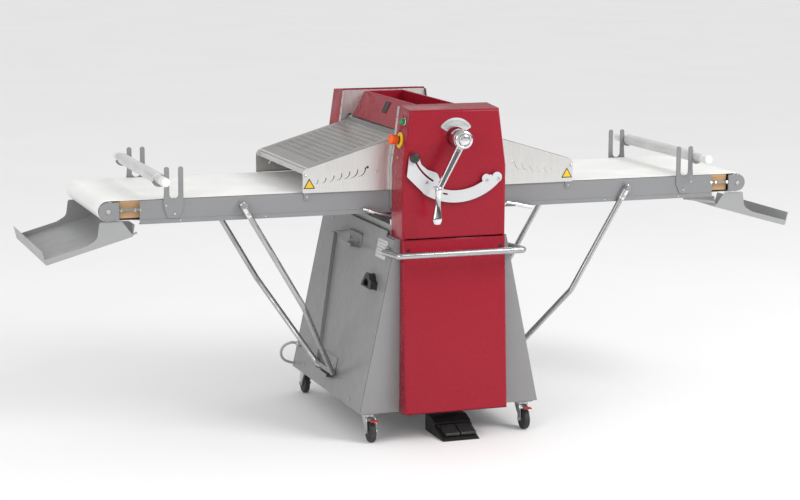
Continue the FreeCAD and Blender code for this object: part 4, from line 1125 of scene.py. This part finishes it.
def castor_fittings():
    """Pressed housing, swivel cup, axle nuts and a coloured brake strip on each castor."""
    top, cheek_x = 0.0985, 0.0185
    cup = [(0.0085, 0.0), (0.0240, 0.0), (0.0268, 0.0022), (0.0275, 0.0050), (0.0255, 0.0062),
           (0.0085, 0.0070)]
    line = [(-0.020, top), (0.022, top), (0.040, 0.070), (0.041, 0.046), (0.034, 0.0335), (0.024, 0.0335),
            (0.016, 0.050), (-0.012, 0.083)]
    radii = [0.003, 0.006, 0.010, 0.006, 0.005, 0.005, 0.010, 0.006]
    strip = round_corners([(-0.014, -0.004), (0.014, -0.004), (0.016, 0.010), (-0.016, 0.010)], [0.002] * 4)
    for end, away in (("front", -1), ("rear", 1)):
        cheek = round_corners([(away * u, w) for u, w in line], radii)
        along = Vector((0, away, -0.25)).normalized()
        level = Vector((1, 0, 0))
        tilt = turned_to(level, along, level.cross(along))
        for name, _ in TABLES:
            swivel = joint_at(f"castor_swivel_{end}_{name}")
            axle = joint_at(f"castor_roll_{end}_{name}")
            body, word = f"castor_fork_{end}_{name}", f"{end}_{name}"
            place = Matrix.Translation((swivel.x, swivel.y, top))
            turned(f"castor_cup_{word}", cup, place, body, "zinc_steel")
            for hand in (-1, 1):
                x = swivel.x + hand * cheek_x
                place = Matrix(((0, 0, 1, x), (1, 0, 0, swivel.y), (0, 1, 0, 0), (0, 0, 0, 1)))
                sharpen(plate(f"castor_cheek_{word}_{hand}", [cheek], 2 * MM, place, body, "zinc_steel"))
                at = facing((axle.x + hand * 0.0195, axle.y, axle.z), (hand, 0, 0))
                nut(f"castor_nut_{word}_{hand}", 0.0075, 0.0055, at, body)
            place = Matrix.Translation((axle.x, axle.y + away * 0.0345, 0.0905)) @ tilt
            plate(f"castor_brake_{word}", [strip], 4 * MM, place, body, "wheel_rubber", 0.8 * MM, "brake_red")


for table_name, table_side in TABLES:
    conveyor_belt(table_name)
    guard_cover(table_name, table_side)
lever()
scale()
push_buttons()
front_screws()
cover_edges()
head_trims()
rating_plate()
hood_details()
bolts()
cable_holder()
mains_cable()
panel_seams()
castor_fittings()


# ------------------------------------------------------------------ stage, light and camera
def stage():
    bpy.ops.mesh.primitive_plane_add(size=240)
    floor = bpy.context.object
    floor.name = "stage_floor"
    s = Shader("pale_floor")
    s.set("Base Color", s.mix(s.span(s.noise(0.8, 3), 0.3, 0.7), (0.90, 0.90, 0.90), (0.92, 0.92, 0.92)))
    s.set("Roughness", 0.6)
    s.set("Specular IOR Level", 0.0)
    floor.data.materials.append(s.material)


def area_light(name, place, aim, size, power):
    light = bpy.data.lights.new(name, "AREA")
    light.shape = "RECTANGLE"
    light.size, light.size_y = size
    light.energy = power
    lamp = bpy.data.objects.new(name, light)
    bpy.context.scene.collection.objects.link(lamp)
    lamp.location = place
    lamp.rotation_euler = (Vector(aim) - Vector(place)).to_track_quat("-Z", "Y").to_euler()


def camera():
    """The photograph's viewpoint: far back, to the left of the front, looking slightly down."""
    place = Vector((-2.8447, BELT_Y - 7.7173, 2.0750))
    yaw, pitch, roll = math.radians(19.91), math.radians(-9.77), math.radians(0.33)
    forward = Vector((math.sin(yaw) * math.cos(pitch), math.cos(yaw) * math.cos(pitch), math.sin(pitch)))
    level = Vector((math.cos(yaw), -math.sin(yaw), 0))
    up = level.cross(forward)
    right = level * math.cos(roll) + up * math.sin(roll)
    top = up * math.cos(roll) - level * math.sin(roll)
    data = bpy.data.cameras.new("camera")
    data.sensor_width = 36
    data.lens = 93.5
    eye = bpy.data.objects.new("camera", data)
    bpy.context.scene.collection.objects.link(eye)
    turn = Matrix((right, top, -forward)).transposed().to_4x4()
    eye.matrix_world = Matrix.Translation(place) @ turn
    bpy.context.scene.camera = eye


def world():
    """Even white light, but a darker horizon for reflections, so that polished metal shows its form."""
    scene = bpy.context.scene
    scene.world = bpy.data.worlds.new("studio")
    scene.world.use_nodes = True
    tree = scene.world.node_tree
    back = tree.nodes["Background"]
    path = tree.nodes.new("ShaderNodeLightPath")
    coords = tree.nodes.new("ShaderNodeTexCoord")
    split = tree.nodes.new("ShaderNodeSeparateXYZ")
    ramp = tree.nodes.new("ShaderNodeValToRGB")
    pick = tree.nodes.new("ShaderNodeMix")
    pick.data_type = "RGBA"
    tree.links.new(coords.outputs["Generated"], split.inputs[0])
    tree.links.new(split.outputs["Z"], ramp.inputs[0])
    stops = ((0.0, 0.20), (0.05, 0.10), (0.10, 0.12), (0.16, 0.80), (0.50, 1.0), (0.70, 0.40), (1.0, 0.70))
    points = ramp.color_ramp.elements
    for i, (place, grey) in enumerate(stops):
        point = points[i] if i < 2 else points.new(place)
        point.position = place
        point.color = (grey, grey, grey, 1)
    tree.links.new(path.outputs["Is Glossy Ray"], pick.inputs[0])
    pick.inputs[6].default_value = (1, 1, 1, 1)
    tree.links.new(ramp.outputs[0], pick.inputs[7])
    tree.links.new(pick.outputs[2], back.inputs[0])
    back.inputs[1].default_value = 0.85
    scene.view_settings.view_transform = "Standard"


stage()
world()
area_light("key", (4.0, -4.5, 5.0), (0, 0, 0.7), (3, 3), 260)
area_light("fill", (-5.5, -4.0, 3.0), (0, 0, 0.8), (4, 3), 90)
camera()
